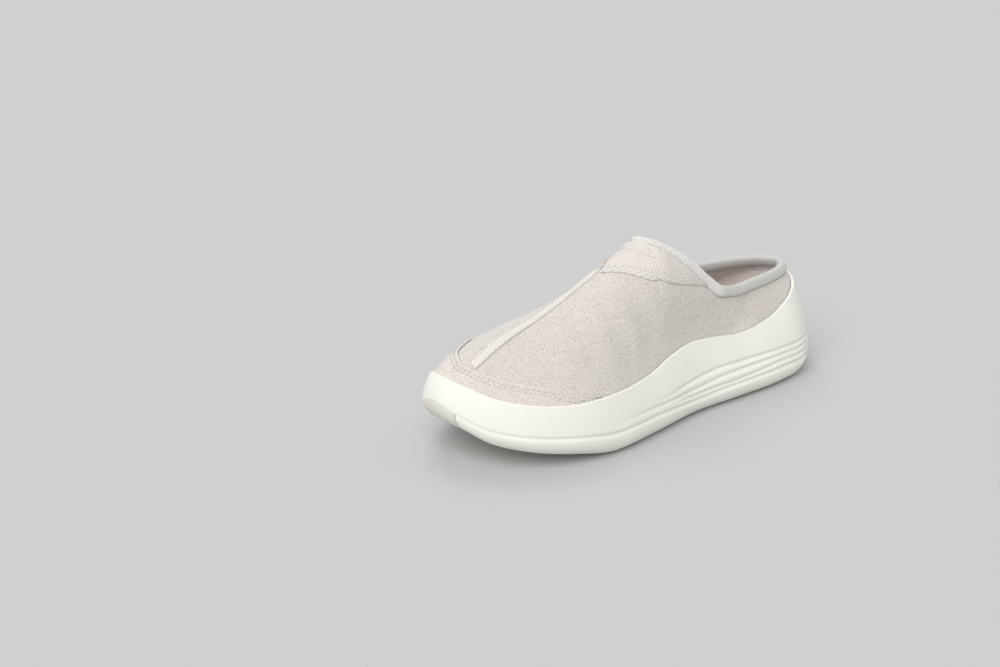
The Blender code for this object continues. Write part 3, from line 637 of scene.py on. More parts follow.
rubber = Finish("rubber_light_grey", Roughness=0.42, Specular_IOR_Level=0.45)
speckle = rubber.noise(900.0, 1.0).step(0.60, 0.72)
cloud = rubber.noise(40.0, 2.0)
rubber.feed(rubber.shader.inputs["Base Color"],
            (cloud * 0.8 + speckle * -0.5).tint((0.735, 0.722, 0.640), (0.80, 0.79, 0.71)))
rubber.relief(rubber.noise(1800.0, 1.0), 0.00004, 0.5)
rubber.wear_on(heel_pod)
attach(heel_pod, "root")
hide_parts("heel_pod")


# Toe pod: the same rubber wraps from under the toe up its face, as a rounded tongue.
# A thin brownish parting line runs round it where it meets the foam.
TOE_START = 0.872
TOE_HALF = 0.0150
TOE_TOP = 0.55
TOE_PROUD = 0.0005


def wall_spot(side, share, up, out):
    """Points of the foam's outer face near the tip, moved out along its normal."""
    point, normal = outline_at(side, share)
    along = np.clip(point[:, 1] / LENGTH, 0, 1)
    base = foam_level(along, 1)
    tilt = np.arcsin(np.clip((EDGE_ROLL - up) / EDGE_ROLL, 0, 1))
    inset = wall_inset(along, up) - out * np.cos(tilt)
    return stand(point, normal, inset, base + up - out * np.sin(tilt))


def toe_pod_face(u, v):
    c = 2 * u - 1
    tall = foam_level(1.0, 3) - foam_level(1.0, 1)
    top = tall * TOE_TOP
    climb = np.clip((v - 0.5) / 0.5, 0, 1)
    up = top * climb * (1.0 - 0.22 * c * c)
    narrow = 1.0 - 0.10 * climb
    edge = np.minimum(1 - np.abs(c), np.minimum(v, 1 - v) * 2)
    out = TOE_PROUD - 0.0012 * (1 - ramp(edge, 0.0, 0.055)) ** 2
    face = np.empty((len(u), 3))
    for side, here in ((1, c >= 0), (-1, c < 0)):
        away = np.abs(c[here]) * TOE_HALF * narrow[here]
        face[here] = wall_spot(side, 1.0 - away / halves[side][2], up[here], out[here])
    under = v < 0.5
    start = LENGTH / 2 - (TOE_START * LENGTH + 0.008 * c ** 4)
    rear = np.stack([(face[:, 0] + SIDE_SHIFT) * 0.72 - SIDE_SHIFT, start], -1)
    t = np.clip(v / 0.5, 0, 1)[:, None]
    plan = rear + (face[:, :2] - rear) * t
    contour = np.abs((plan[:, 1] / 0.0062) % 1.0 - 0.5) * 0.0062
    groove = 0.0007 * trough(contour, 0.0012) * ramp(edge, 0.03, 0.12) * ramp(1 - t[:, 0], 0.05, 0.2)
    low = np.stack([plan[:, 0], plan[:, 1], tread_height(plan[:, 0], plan[:, 1]) - out + groove], -1)
    return np.where(under[:, None], low, face)


def towards_tip(centres):
    way = np.zeros((len(centres), 3))
    way[:, 1] = -0.6
    way[:, 2] = -0.8
    return way


toe_pod = shaped_grid("toe_pod_rubber", 80, 130, toe_pod_face)
thicken(facing(toe_pod, towards_tip), 0.0016)

toe_rubber = Finish("rubber_toe", Roughness=0.42, Specular_IOR_Level=0.45)
across, upwards = toe_rubber.own_map()
to_edge = (across * (1.0 - across) * 4.0).step(0.0, 0.16) * (upwards * (1.0 - upwards) * 4.0).step(0.0, 0.07)
speckle = toe_rubber.noise(1100.0, 1.0).step(0.58, 0.72)
face_tone = (toe_rubber.noise(40.0) * 0.8 - speckle * 0.9).tint((0.69, 0.678, 0.605), (0.755, 0.745, 0.672))
edge_tone = toe_rubber.noise(600.0).tint((0.40, 0.33, 0.24), (0.47, 0.40, 0.31))
toe_rubber.feed(toe_rubber.shader.inputs["Base Color"], to_edge.blend(edge_tone, face_tone))
toe_rubber.relief(toe_rubber.noise(1500.0, 1.0), 0.00005, 0.6)
toe_rubber.wear_on(toe_pod)
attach(toe_pod, "root")
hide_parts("toe_pod")


# Insole: a soft foam footbed under a brushed cloth, laid loose in the cup.
# It is dished a little at the heel and crowned under the arch.
INSOLE_THICKNESS = 0.005
WALL = 0.002


def insole_skin(u, v):
    """v runs from the middle of the underside round the rolled edge to the middle of the top."""
    share = np.where(u <= 0.5, 2 * u, 2 - 2 * u)
    made = np.empty((len(u), 3))
    turn = np.clip((v - 0.30) / 0.14, 0, 1) * math.pi
    for side, here in ((1, u <= 0.5), (-1, u > 0.5)):
        point, normal = outline_at(side, share[here])
        along = np.clip(point[:, 1] / LENGTH, 0, 1)
        roll = INSOLE_THICKNESS / 2
        base = rim_inset(along) + LIP + GAP + WALL + GAP + 0.0034 + roll * (1 - np.sin(turn[here]))
        height = foam_level(along, 2) + GAP + roll * (1 - np.cos(turn[here]))
        made[here] = stand(point, normal, base, height)
    partner = made.copy()
    for side, here in ((-1, u <= 0.5), (1, u > 0.5)):
        point, normal = outline_at(side, share[here])
        along = np.clip(point[:, 1] / LENGTH, 0, 1)
        base = rim_inset(along) + LIP + GAP + WALL + GAP + 0.0034 + INSOLE_THICKNESS / 2
        partner[here] = stand(point, normal, base, made[here][:, 2])
    inward = np.where(v < 0.30, 0.5 * (1 - v / 0.30), np.where(v > 0.44, 0.5 * (v - 0.44) / 0.56, 0.0))
    spots = made + (partner - made) * inward[:, None]
    on_top = ramp(v, 0.44, 0.70)
    y = LENGTH / 2 - spots[:, 1]
    dish = -0.0010 * np.exp(-((y - 0.045) / 0.035) ** 2) + 0.0008 * np.exp(-((y - 0.135) / 0.04) ** 2)
    spots[:, 2] += dish * on_top
    return spots


insole = closed_up(shaped_grid("insole_pad", 240, 60, insole_skin))
insole_cloth = Finish("insole_grey_mauve", Roughness=0.95, Specular_IOR_Level=0.15, Sheen_Weight=0.25)
nap = insole_cloth.noise(1300.0, 2.0)
patchy = insole_cloth.noise(60.0, 2.0)
insole_cloth.feed(insole_cloth.shader.inputs["Base Color"],
                  (nap * 0.6 + patchy * 0.5 - 0.05).tint((0.33, 0.285, 0.265), (0.44, 0.39, 0.365)))
insole_cloth.relief(nap, 0.00025, 0.6)
insole_cloth.wear_on(insole)
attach(insole, "root")
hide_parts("insole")


# Upper: one hollow shell of short-napped suede, pulled over the last from the rim to the
# crest and the collar, and glued down inside the cup. Its creases are soft troughs, given one by one.
HEEL_HEIGHT = 0.069
INSTEP_HEIGHT = 0.105
INSTEP = 19 / 36
COLLAR = (
    # round, side, along, height
    (-0.07, -0.153, 0.077, 1.000),
    (0.00, 0.000, 0.064, 1.003),
    (0.07, 0.153, 0.077, 1.000),
    (0.14, 0.289, 0.114, 0.998),
    (0.21, 0.382, 0.170, 0.996),
    (0.28, 0.440, 0.236, 0.993),
    (0.35, 0.474, 0.309, 0.997),
    (0.38, 0.472, 0.341, 1.034),
    (0.41, 0.441, 0.370, 1.129),
    (0.44, 0.382, 0.400, 1.253),
    (0.47, 0.290, 0.430, 1.370),
    (0.50, 0.150, 0.468, 1.478),
    (INSTEP, 0.000, 0.486, 1.507),
    (0.556, -0.150, 0.468, 1.478),
)
CREST = (
    # round, along, height
    (INSTEP, 0.486, 0.990),
    (0.60, 0.583, 0.884),
    (0.70, 0.683, 0.758),
    (0.80, 0.765, 0.680),
    (0.90, 0.830, 0.648),
    (1.00, 0.873, 0.620),
)
LEAN = (
    # round, lean outer and inner, arrival side, along and up, handles outer and inner
    (0.00, 10.0, 10.0, 0.00, 0.20, 1.00, 0.30, 0.30),
    (0.14, 10.0, 10.0, -0.12, 0.14, 1.00, 0.30, 0.30),
    (0.28, 12.0, 12.0, -0.16, 0.00, 1.00, 0.33, 0.33),
    (0.35, 13.0, 13.0, -0.25, -0.05, 1.00, 0.34, 0.34),
    (0.41, 14.0, 14.0, -0.60, -0.20, 1.00, 0.36, 0.36),
    (0.44, 15.0, 15.0, -0.85, -0.25, 0.85, 0.38, 0.37),
    (0.47, 16.0, 17.0, -1.00, -0.25, 0.60, 0.39, 0.37),
    (INSTEP, 18.0, 20.0, -1.00, -0.17, 0.07, 0.39, 0.29),
    (0.60, 24.0, 28.0, -0.97, -0.24, 0.10, 0.38, 0.20),
    (0.70, 36.0, 34.0, -0.92, -0.36, 0.15, 0.38, 0.25),
    (0.80, 50.0, 31.0, -0.80, -0.55, 0.23, 0.37, 0.45),
    (0.90, 62.0, 36.0, -0.50, -0.80, 0.33, 0.36, 0.46),
    (1.00, 70.0, 70.0, 0.00, -1.00, 0.42, 0.36, 0.36),
)
CREASES = (
    # side, from share and part, to share and part, half width, depth (a ridge is negative)
    (1, 0.585, 0.62, 0.545, 0.22, 0.0080, 0.0010),
    (1, 0.640, 0.66, 0.610, 0.20, 0.0075, 0.0009),
    (1, 0.612, 0.60, 0.578, 0.25, 0.0060, -0.0005),
    (1, 0.700, 0.80, 0.690, 0.30, 0.0080, 0.0007),
    (1, 0.380, 0.62, 0.335, 0.30, 0.0085, 0.0010),
    (1, 0.290, 0.72, 0.300, 0.30, 0.0070, 0.0007),
    (1, 0.430, 0.55, 0.400, 0.30, 0.0080, -0.0006),
    (-1, 0.600, 0.62, 0.560, 0.22, 0.0080, 0.0010),
    (-1, 0.660, 0.66, 0.640, 0.25, 0.0075, 0.0008),
    (-1, 0.380, 0.60, 0.340, 0.30, 0.0085, 0.0010),
    (-1, 0.300, 0.70, 0.300, 0.30, 0.0070, 0.0006),
)


def free_curve(table, column, at):
    """Cubic with free slopes through one column of a table, for a curve that stays round."""
    keys = np.array([row[0] for row in table], float)
    values = np.array([row[column] for row in table], float)
    at = np.clip(np.asarray(at, float), keys[0], keys[-1])
    return hermite(keys, values, np.gradient(values, keys), at)


def upper_plain(side, share, part):
    """Outer face of the upper: share round the shoe, part of the way from the rim to the top."""
    point, normal = outline_at(side, share)
    along = np.clip(point[..., 1] / LENGTH, 0, 1)
    start = stand(point, normal, rim_inset(along) + LIP + GAP, foam_level(along, 3))
    on_crest = share >= INSTEP
    x = np.where(on_crest, 0.0, free_curve(COLLAR, 1, share) * HALF_BALL * side)
    y = np.where(on_crest, free_curve(CREST, 1, share), free_curve(COLLAR, 2, share)) * LENGTH
    z = np.where(on_crest, free_curve(CREST, 2, share) * INSTEP_HEIGHT,
                 free_curve(COLLAR, 3, share) * HEEL_HEIGHT)
    end = np.stack([x - SIDE_SHIFT, LENGTH / 2 - y, z], -1)
    lean = np.radians(row_values(LEAN, 1 if side > 0 else 2, share))
    leave = np.stack([normal[..., 0] * np.sin(lean), -normal[..., 1] * np.sin(lean), np.cos(lean)], -1)
    arrive = np.stack([row_values(LEAN, 3, share) * side, -row_values(LEAN, 4, share),
                       row_values(LEAN, 5, share)], -1)
    arrive = arrive / np.linalg.norm(arrive, axis=-1, keepdims=True)
    reach = np.linalg.norm(end - start, axis=-1) * row_values(LEAN, 6 if side > 0 else 7, share)
    first = start + leave * reach[..., None]
    second = end - arrive * reach[..., None]
    t = part[..., None]
    return (start * (1 - t) ** 3 + first * 3 * t * (1 - t) ** 2
            + second * 3 * t * t * (1 - t) + end * t ** 3)


def upper_normal(side, share, part):
    eps = 0.004
    du = upper_plain(side, np.minimum(share + eps, 1.0), part)
    du = du - upper_plain(side, np.maximum(share - eps, 0.0), part)
    dv = upper_plain(side, share, np.minimum(part + eps, 1.0))
    dv = dv - upper_plain(side, share, np.maximum(part - eps, 0.0))
    du = np.where((share >= 1.0 - eps)[..., None], np.array([-side, 0.0, 0.0]), du)
    du = np.where((share <= eps)[..., None], np.array([side, 0.0, 0.0]), du)
    normal = np.cross(dv, du) * side
    middle = (share >= INSTEP - 1e-6) & (part >= 0.9999)
    normal[..., 0] = np.where(middle, 0.0, normal[..., 0])
    return normal / np.linalg.norm(normal, axis=-1, keepdims=True)


def crease_lines():
    lines = []
    for side, share_a, part_a, share_b, part_b, half, depth in CREASES:
        steps = np.linspace(0, 1, 9)
        share = share_a + (share_b - share_a) * steps
        part = part_a + (part_b - part_a) * steps
        lines.append((side, upper_plain(side, share, part), half, depth))
    return lines


crease_list = crease_lines()


def upper_face(side, share, part, lift=0.0):
    """The upper's outer face with its creases, moved out by lift along its normal."""
    spot = upper_plain(side, share, part)
    sunk = np.zeros(len(spot))
    for own_side, line, half, depth in crease_list:
        if own_side != side:
            continue
        near = np.full(len(spot), 1e9)
        for a, b in zip(line[:-1], line[1:]):
            d = b - a
            t = np.clip((spot - a) @ d / (d @ d), 0, 1)
            near = np.minimum(near, np.linalg.norm(spot - a - t[:, None] * d, axis=1))
        sunk += depth * np.exp(-(near / half) ** 2)
    fade = ramp(part, 0.0, 0.12) * ramp(part, 1.0, 0.93)
    return spot + upper_normal(side, share, part) * (lift - sunk * fade)[..., None]


def shell(lift, low, rows):
    """A function of u and v for the whole upper: two hidden rows in the cup, then rim to top."""

    def spot(u, v):
        row = np.round(v * rows).astype(int)
        part = np.clip((row - 3) / (rows - 3), 0, 1)
        made = all_round(lambda side, share, p: upper_face(side, share, p, lift), u, part)
        for k in range(3):
            here = row == k
            deep = (3 - k) / 3
            made[here] = all_round(lambda side, share, p: cup_side(side, share, deep * low, lift),
                                   u[here], part[here])
        return made

    return spot


def cup_side(side, share, deep, lift):
    point, normal = outline_at(side, share)
    along = np.clip(point[:, 1] / LENGTH, 0, 1)
    rim = foam_level(along, 3)
    floor = foam_level(along, 2) + 2 * GAP
    inset = rim_inset(along) + LIP + GAP + 0.003 * deep - lift
    return stand(point, normal, inset, rim + (floor - rim) * deep)


def outwards(centres):
    way = centres - np.array([-SIDE_SHIFT, 0.0, 0.045])
    way[:, 1] *= 0.15
    return way


UPPER_ROWS = 63
upper = shaped_grid("upper_suede", 400, UPPER_ROWS, shell(0.0, 1.0, UPPER_ROWS))
facing(upper, outwards)
thicken(upper, 0.0011)


def tape_middle(side, share):
    """Part of the way up at which the middle of the side tape runs."""
    return (free_curve(SIDE_TAPE, 1, share) + free_curve(SIDE_TAPE, 2, share)) / 2


SIDE_TAPE = (
    # round, upper edge, lower edge
    (0.420, 0.915, 0.815),
    (0.437, 0.855, 0.750),
    (0.455, 0.792, 0.682),
    (0.475, 0.722, 0.618),
    (0.491, 0.672, 0.578),
    (0.507, 0.640, 0.554),
    (0.522, 0.636, 0.552),
    (0.537, 0.662, 0.574),
    (0.557, 0.740, 0.652),
    (0.573, 0.825, 0.736),
    (0.590, 0.915, 0.830),
    (0.607, 0.990, 0.915),
    (0.618, 1.000, 0.962),
)


def mark_upper(item):
    """Marks the instep panel above the side tapes on the suede, for its warmer tone."""
    loops = np.empty(len(item.data.loops), int)
    item.data.loops.foreach_get("vertex_index", loops)
    flat = np.empty(len(loops) * 2)
    item.data.uv_layers.active.data.foreach_get("uv", flat)
    own = np.zeros((len(item.data.vertices), 2))
    own[loops] = flat.reshape(-1, 2)
    share = np.where(own[:, 0] <= 0.5, 2 * own[:, 0], 2 - 2 * own[:, 0])
    part = np.clip((own[:, 1] * UPPER_ROWS - 3) / (UPPER_ROWS - 3), 0, 1)
    above = (part > tape_middle(1, share)) & (share > 0.42) & (share < 0.613)
    for name, value in (("panel", above.astype(float)), ("part_up", part), ("share_round", share)):
        layer = item.data.attributes.new(name, "FLOAT", "POINT")
        layer.data.foreach_set("value", value.astype(np.float32))


mark_upper(upper)


def suede(name, low, high, panel=None):
    """Short-napped suede: fine two-tone nap, broad clouding, soft sheen and a fibrous bump."""
    made = Finish(name, Roughness=0.95, Specular_IOR_Level=0.12, Sheen_Weight=0.30, Sheen_Roughness=0.6)
    fine = made.noise(950.0, 3.0, 0.7)
    broad = made.noise(70.0, 3.0, 0.6)
    brushed = made.noise(260.0, 2.0)
    tone = (fine - 0.5) * 2.8 + (broad - 0.5) * 0.16 + (brushed - 0.5) * 0.35 + 0.5
    colour = tone.tint(low, high)
    if panel:
        warm = tone.tint(*panel)
        colour = made.marked("panel").blend(colour, warm)
    made.colour = colour
    made.feed(made.shader.inputs["Base Color"], colour)
    made.relief(fine * 0.8 + brushed * 0.2, 0.0004, 0.55)
    return made


suede_finish = suede("suede_pinkish_grey", (0.500, 0.458, 0.425), (0.740, 0.692, 0.652),
                     ((0.560, 0.515, 0.478), (0.780, 0.725, 0.680)))
suede_finish.wear_on(upper)
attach(upper, "root")
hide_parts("upper")


# Lining: a brushed grey-mauve textile glued to the inside of the suede,
# with a lighter strip inside the heel that is sewn down along both its edges.
LINING_ROWS = 43
lining = shaped_grid("lining", 280, LINING_ROWS, shell(-0.00115, 0.80, LINING_ROWS))
facing(lining, outwards)
thicken(lining, 0.0008)

lining_cloth = Finish("lining_grey_mauve", Roughness=0.95, Specular_IOR_Level=0.15, Sheen_Weight=0.25)
nap = lining_cloth.noise(1100.0, 2.0)
patchy = lining_cloth.noise(50.0, 2.0)
lining_cloth.feed(lining_cloth.shader.inputs["Base Color"],
                  (nap * 0.6 + patchy * 0.5 - 0.05).tint((0.68, 0.61, 0.575), (0.82, 0.745, 0.705)))
lining_cloth.relief(nap, 0.0002, 0.6)
lining_cloth.wear_on(lining)
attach(lining, "root")

STRIP_SHARE = 0.085
STRIP_LOW = 0.05


def heel_strip_face(u, v):
    c = (2 * u - 1) * STRIP_SHARE
    part = STRIP_LOW + (0.985 - STRIP_LOW) * v
    edge = np.minimum(1 - np.abs(2 * u - 1), 1.0)
    lift = -0.00205 - 0.0006 * ramp(edge, 0.0, 0.10)
    made = np.empty((len(u), 3))
    for side, here in ((1, c >= 0), (-1, c < 0)):
        made[here] = upper_face(side, np.abs(c[here]), part[here], 0.0)
        made[here] += upper_normal(side, np.abs(c[here]), part[here]) * lift[here][:, None]
    return made


def inwards(centres):
    return -outwards(centres)


heel_strip = shaped_grid("heel_strip", 60, 30, heel_strip_face)
thicken(facing(heel_strip, inwards), 0.0004)
strip_cloth = Finish("strip_light_grey", Roughness=0.9, Specular_IOR_Level=0.2, Sheen_Weight=0.2)
weave = strip_cloth.noise(1500.0, 1.0)
strip_cloth.feed(strip_cloth.shader.inputs["Base Color"], weave.tint((0.66, 0.63, 0.60), (0.76, 0.73, 0.70)))
strip_cloth.relief(weave, 0.0002, 0.5)
strip_cloth.wear_on(heel_strip)
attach(heel_strip, "root")


# Toe cap: a second layer of the same suede over the toe, skived thin along its lower edge.
# Its upper edge is cut clean and shows as a pale line above two rows of stitches.
CAP_EDGE = (
    # round, outer side, inner side
    (0.70, 0.012, 0.040),
    (0.73, 0.035, 0.100),
    (0.76, 0.085, 0.190),
    (0.80, 0.160, 0.310),
    (0.84, 0.207, 0.410),
    (0.88, 0.245, 0.440),
    (0.92, 0.267, 0.405),
    (0.96, 0.297, 0.370),
    (1.00, 0.352, 0.352),
)
CAP_START = 0.70
CAP_LIFT = 0.0010


def cap_top(side, share):
    return row_values(CAP_EDGE, 1 if side > 0 else 2, share)


def both_toe_sides(u, function, start):
    """Splits u, 0 to 1 over the toe from the outer to the inner side, into sides and shares."""
    made = np.empty((len(u), 3))
    share = 1.0 - np.abs(2 * u - 1) * (1.0 - start)
    for side, here in ((1, u <= 0.5), (-1, u > 0.5)):
        made[here] = function(side, share[here], here)
    return made


def cap_face(u, v):

    def spot(side, share, here):
        top = cap_top(side, share)
        part = top * v[here]
        up = v[here]
        lift = CAP_LIFT * (0.35 + 0.65 * ramp(up, 0.0, 0.5)) + 0.00035 * trough(up - 0.97, 0.05)
        return upper_face(side, share, part, 0.0) + upper_normal(side, share, part) * lift[:, None]

    return both_toe_sides(u, spot, CAP_START)


toe_cap = shaped_grid("toe_cap_suede", 260, 40, cap_face)
thicken(facing(toe_cap, outwards), 0.0009)
cap_finish = suede("suede_cap", (0.545, 0.483, 0.443), (0.770, 0.708, 0.662))
_, cap_up = cap_finish.own_map()
pale = cap_up.step(0.945, 0.965)
cap_finish.feed(cap_finish.shader.inputs["Base Color"],
                pale.blend(cap_finish.colour, (0.78, 0.74, 0.70, 1.0)))
cap_finish.wear_on(toe_cap)
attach(toe_cap, "root")
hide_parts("toe_cap")


# Tapes: a pale ribbed tape covers the seam down the vamp, a little to the outer side near the toe,
# and parts into two side tapes that run down to the collar. Each is sewn flat along both edges.
TAPE_WIDTH = 0.0056
TAPE_SPLIT = 0.600
TAPE_END = 0.927
TAPE_LIFT = 0.0008


def upper_over(side, goals):
    """Share and part of the upper's face straight above plan points of one side, by Newton steps."""
    shares, parts = np.meshgrid(np.linspace(0.53, 1.0, 61), np.linspace(0.35, 1.0, 41), indexing="ij")
    face = upper_plain(side, shares, parts)[..., :2].reshape(-1, 2)
    best = np.argmin(np.linalg.norm(face[None] - goals[:, None], axis=-1), axis=1)
    share, part = shares.ravel()[best], parts.ravel()[best]
    for _ in range(12):
        here = upper_plain(side, share, part)[:, :2]
        step = np.where(share < 0.999, 1e-4, -1e-4)
        right = (upper_plain(side, share + step, part)[:, :2] - here) / step[:, None]
        rise = (upper_plain(side, share, part - 1e-4)[:, :2] - here) / -1e-4
        gap = goals - here
        size = right[:, 0] * rise[:, 1] - right[:, 1] * rise[:, 0]
        size = np.where(np.abs(size) < 1e-9, 1e-9, size)
        ahead = (gap[:, 0] * rise[:, 1] - gap[:, 1] * rise[:, 0]) / size
        higher = (right[:, 0] * gap[:, 1] - right[:, 1] * gap[:, 0]) / size
        share = np.clip(share + np.clip(ahead, -0.05, 0.05), 0.53, 1)
        part = np.clip(part + np.clip(higher, -0.05, 0.05), 0.05, 1)
    return share, part


TAPE_SWAY = (
    # along from the heel, how far the tape lies to the outer side (mm)
    (0.600, -2.2),
    (0.713, -1.2),
    (0.767, 0.3),
    (0.823, 2.2),
    (0.870, 3.2),
    (0.907, 3.3),
    (0.940, 2.8),
)


def tape_swell(across_share):
    """Lift of a tape across its width: flat, with thin rounded edges."""
    edge = np.minimum(across_share, 1 - across_share)
    return TAPE_LIFT * (0.45 + 0.55 * ramp(edge, 0.0, 0.09))


def centre_tape_face(u, v):
    along = TAPE_SPLIT + (TAPE_END - TAPE_SPLIT) * v
    x = free_curve(TAPE_SWAY, 1, along) / 1000 + (u - 0.5) * TAPE_WIDTH
    goals = np.stack([x - SIDE_SHIFT, LENGTH / 2 - along * LENGTH], 1)
    made = np.empty((len(u), 3))
    for side, here in ((1, x >= 0), (-1, x < 0)):
        share, part = upper_over(side, goals[here])
        lift = tape_swell(u[here])[:, None]
        made[here] = upper_plain(side, share, part) + upper_normal(side, share, part) * lift
    return made


def tape_weave(name, lengthways, ribs):
    """Ribbed tape: fine ribs across its length, a little sheen and uneven dye."""
    made = Finish(name, Roughness=0.80, Specular_IOR_Level=0.25, Sheen_Weight=0.2)
    rib = (made.own_map()[lengthways] * (ribs * 2 * math.pi)).sine() * 0.5 + 0.5
    fibre = made.noise(1400.0, 2.0)
    tone = rib * 0.35 + fibre * 0.5 + made.noise(90.0) * 0.3
    made.feed(made.shader.inputs["Base Color"], tone.tint((0.60, 0.57, 0.53), (0.80, 0.765, 0.715)))
    made.relief(rib * 0.6 + fibre * 0.4, 0.00025, 0.6)
    return made


TAPE_LANES = 8
TAPE_ROWS = 150
centre_tape = shaped_grid("centre_tape_woven", TAPE_LANES, TAPE_ROWS, centre_tape_face)
thicken(facing(centre_tape, outwards), 0.0007)
tape_weave("tape_centre_grey", 1, 90).wear_on(centre_tape)
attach(centre_tape, "root")
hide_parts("centre_tape")


def side_tape_face(side):

    def spot(u, v):
        share = SIDE_TAPE[0][0] + (SIDE_TAPE[-1][0] - SIDE_TAPE[0][0]) * u
        high = np.minimum(free_curve(SIDE_TAPE, 1, share), 1.0)
        low = free_curve(SIDE_TAPE, 2, share)
        part = low + (high - low) * v
        return upper_plain(side, share, part) + upper_normal(side, share, part) * tape_swell(v)[:, None]

    return spot


for side, name in ((1, "outer"), (-1, "inner")):
    side_tape = shaped_grid("side_tape_woven_" + name, 130, 10, side_tape_face(side))
    thicken(facing(side_tape, outwards), 0.0007)
    tape_weave("tape_grey_" + name, 0, 62).wear_on(side_tape)
    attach(side_tape, "root")
    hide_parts("side_tape_" + name)


# Collar binding: a soft knitted tape rolled over the raw edge of the upper and sewn down.
# It is grey and full round the heel, and pale and flatter over the front of the collar.
BIND_PROFILE = (
    # place across the section: drop below the edge, lift from the outer face
    (0.0056, 0.00035),
    (0.0053, 0.00125),
    (0.0042, 0.00185),
    (0.0026, 0.00205),
    (0.0010, 0.00190),
)
FRONT_WIDER = 0.30        # the tape over the collar's front is this much wider, and flatter
FRONT_FLATTER = 0.45
BIND_INNER = (
    (0.0010, -0.00370),
    (0.0026, -0.00395),
    (0.0042, -0.00375),
    (0.0053, -0.00330),
    (0.0056, -0.00235),
)


def at_front(share):
    """0 round the heel and the sides of the collar, 1 over its front."""
    return ramp(share, 0.355, 0.415)


def drops(side, share):
    """For each share, the parts of the way up that lie given distances below the collar."""
    wanted = sorted({drop for drop, _ in BIND_PROFILE})
    wider = 1 + FRONT_WIDER * at_front(share)
    table = {drop: np.empty(len(share)) for drop in wanted}
    for i, one in enumerate(share):
        parts = np.linspace(1.0, 0.3, 40)
        line = upper_plain(side, np.full(40, one), parts)
        way = np.concatenate([[0.0], np.cumsum(np.linalg.norm(np.diff(line, axis=0), axis=1))])
        for drop in wanted:
            table[drop][i] = np.interp(drop * wider[i], way, parts)
    return table


def binding_face(u, v):
    """u runs round the collar from the heel, v across the rolled section and closed at its end."""
    places = len(BIND_PROFILE) + len(BIND_INNER) + 3
    sections = np.empty((len(u), places, 3))
    for side, here in ((1, u <= 0.5), (-1, u > 0.5)):
        share = np.where(side > 0, 2 * u[here], 2 - 2 * u[here]) * INSTEP
        columns, inverse = np.unique(np.round(share, 9), return_inverse=True)
        table = drops(side, columns)
        points = []
        flatter = (1 - FRONT_FLATTER * at_front(columns))[:, None]
        for drop, lift in BIND_PROFILE:
            part = table[drop]
            raised = upper_normal(side, columns, part) * lift * flatter
            points.append(upper_plain(side, columns, part) + raised)
        edge = upper_plain(side, columns, np.ones(len(columns)))
        low = upper_plain(side, columns, table[BIND_PROFILE[2][0]])
        up = edge - low
        up = up / np.linalg.norm(up, axis=1, keepdims=True)
        top_normal = upper_normal(side, columns, table[BIND_PROFILE[-1][0]])
        for out, rise in ((0.0011, 0.0008), (-0.0009, 0.0013), (-0.0029, 0.0008)):
            points.append(edge + top_normal * out + up * rise)
        for drop, lift in BIND_INNER:
            part = table[drop]
            points.append(upper_plain(side, columns, part) + upper_normal(side, columns, part) * lift)
        sections[here] = np.stack(points, 1)[inverse]
    closed = np.concatenate([sections, sections[:, :1]], 1)
    keys = np.linspace(0, 1, places + 1)
    made = np.empty((len(u), 3))
    k = np.clip((v * places).astype(int), 0, places - 1)
    t = (v - keys[k]) * places
    rows = np.arange(len(u))
    p = [closed[rows, (k + d) % places] for d in (-1, 0, 1, 2)]
    t = t[:, None]
    made = 0.5 * ((2 * p[1]) + (p[2] - p[0]) * t + (2 * p[0] - 5 * p[1] + 4 * p[2] - p[3]) * t ** 2
                  + (3 * p[1] - p[0] - 3 * p[2] + p[3]) * t ** 3)
    return made


binding = closed_up(shaped_grid("collar_binding_knit", 400, 39, binding_face))
knit = Finish("binding_grey", Roughness=0.85, Specular_IOR_Level=0.2, Sheen_Weight=0.3)
bind_round, bind_across = knit.own_map()
rib = ((bind_round * (260 * 2 * math.pi)).sine() * 0.5 + 0.5) * 0.5
course = ((bind_across * (34 * 2 * math.pi)).sine() * 0.5 + 0.5) * 0.5
fibre = knit.noise(1300.0, 2.0)
tone = rib * 0.2 + course * 0.3 + fibre * 0.5 + 0.1
grey = tone.tint((0.47, 0.462, 0.438), (0.645, 0.634, 0.605))
front = tone.tint((0.62, 0.60, 0.565), (0.82, 0.80, 0.765))
over_front = (0.5 - (bind_round - 0.5).size()).step(0.348, 0.372)
knit.feed(knit.shader.inputs["Base Color"], over_front.blend(grey, front))
knit.relief(rib * 0.5 + course * 0.5 + fibre * 0.4, 0.00022, 0.6)
knit.wear_on(binding)
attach(binding, "root")
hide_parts("collar_binding")


# Stitches: pale thread laid in short grains along the seams, each end pulled into a hole.
# The holes are painted shade: small dark beads on the seams stand for the shadow inside each hole.
# One grain and one dark hole bead are modelled, and every row is made of copies of them.
BEAD = 0.0003


def small_bead(name, rings, segments, scale):
    bpy.ops.object.select_all(action="DESELECT")
    bpy.ops.mesh.primitive_uv_sphere_add(segments=segments, ring_count=rings, radius=BEAD)
    item = bpy.context.active_object
    item.name = name
    bpy.ops.object.mode_set(mode="EDIT")
    bpy.ops.mesh.select_all(action="SELECT")
    bpy.ops.transform.resize(value=scale)
    bpy.ops.object.mode_set(mode="OBJECT")
    points = np.array([v.co for v in item.data.vertices])
    faces = [tuple(f.vertices) for f in item.data.polygons]
    bpy.data.objects.remove(item, do_unlink=True)
    return points, faces


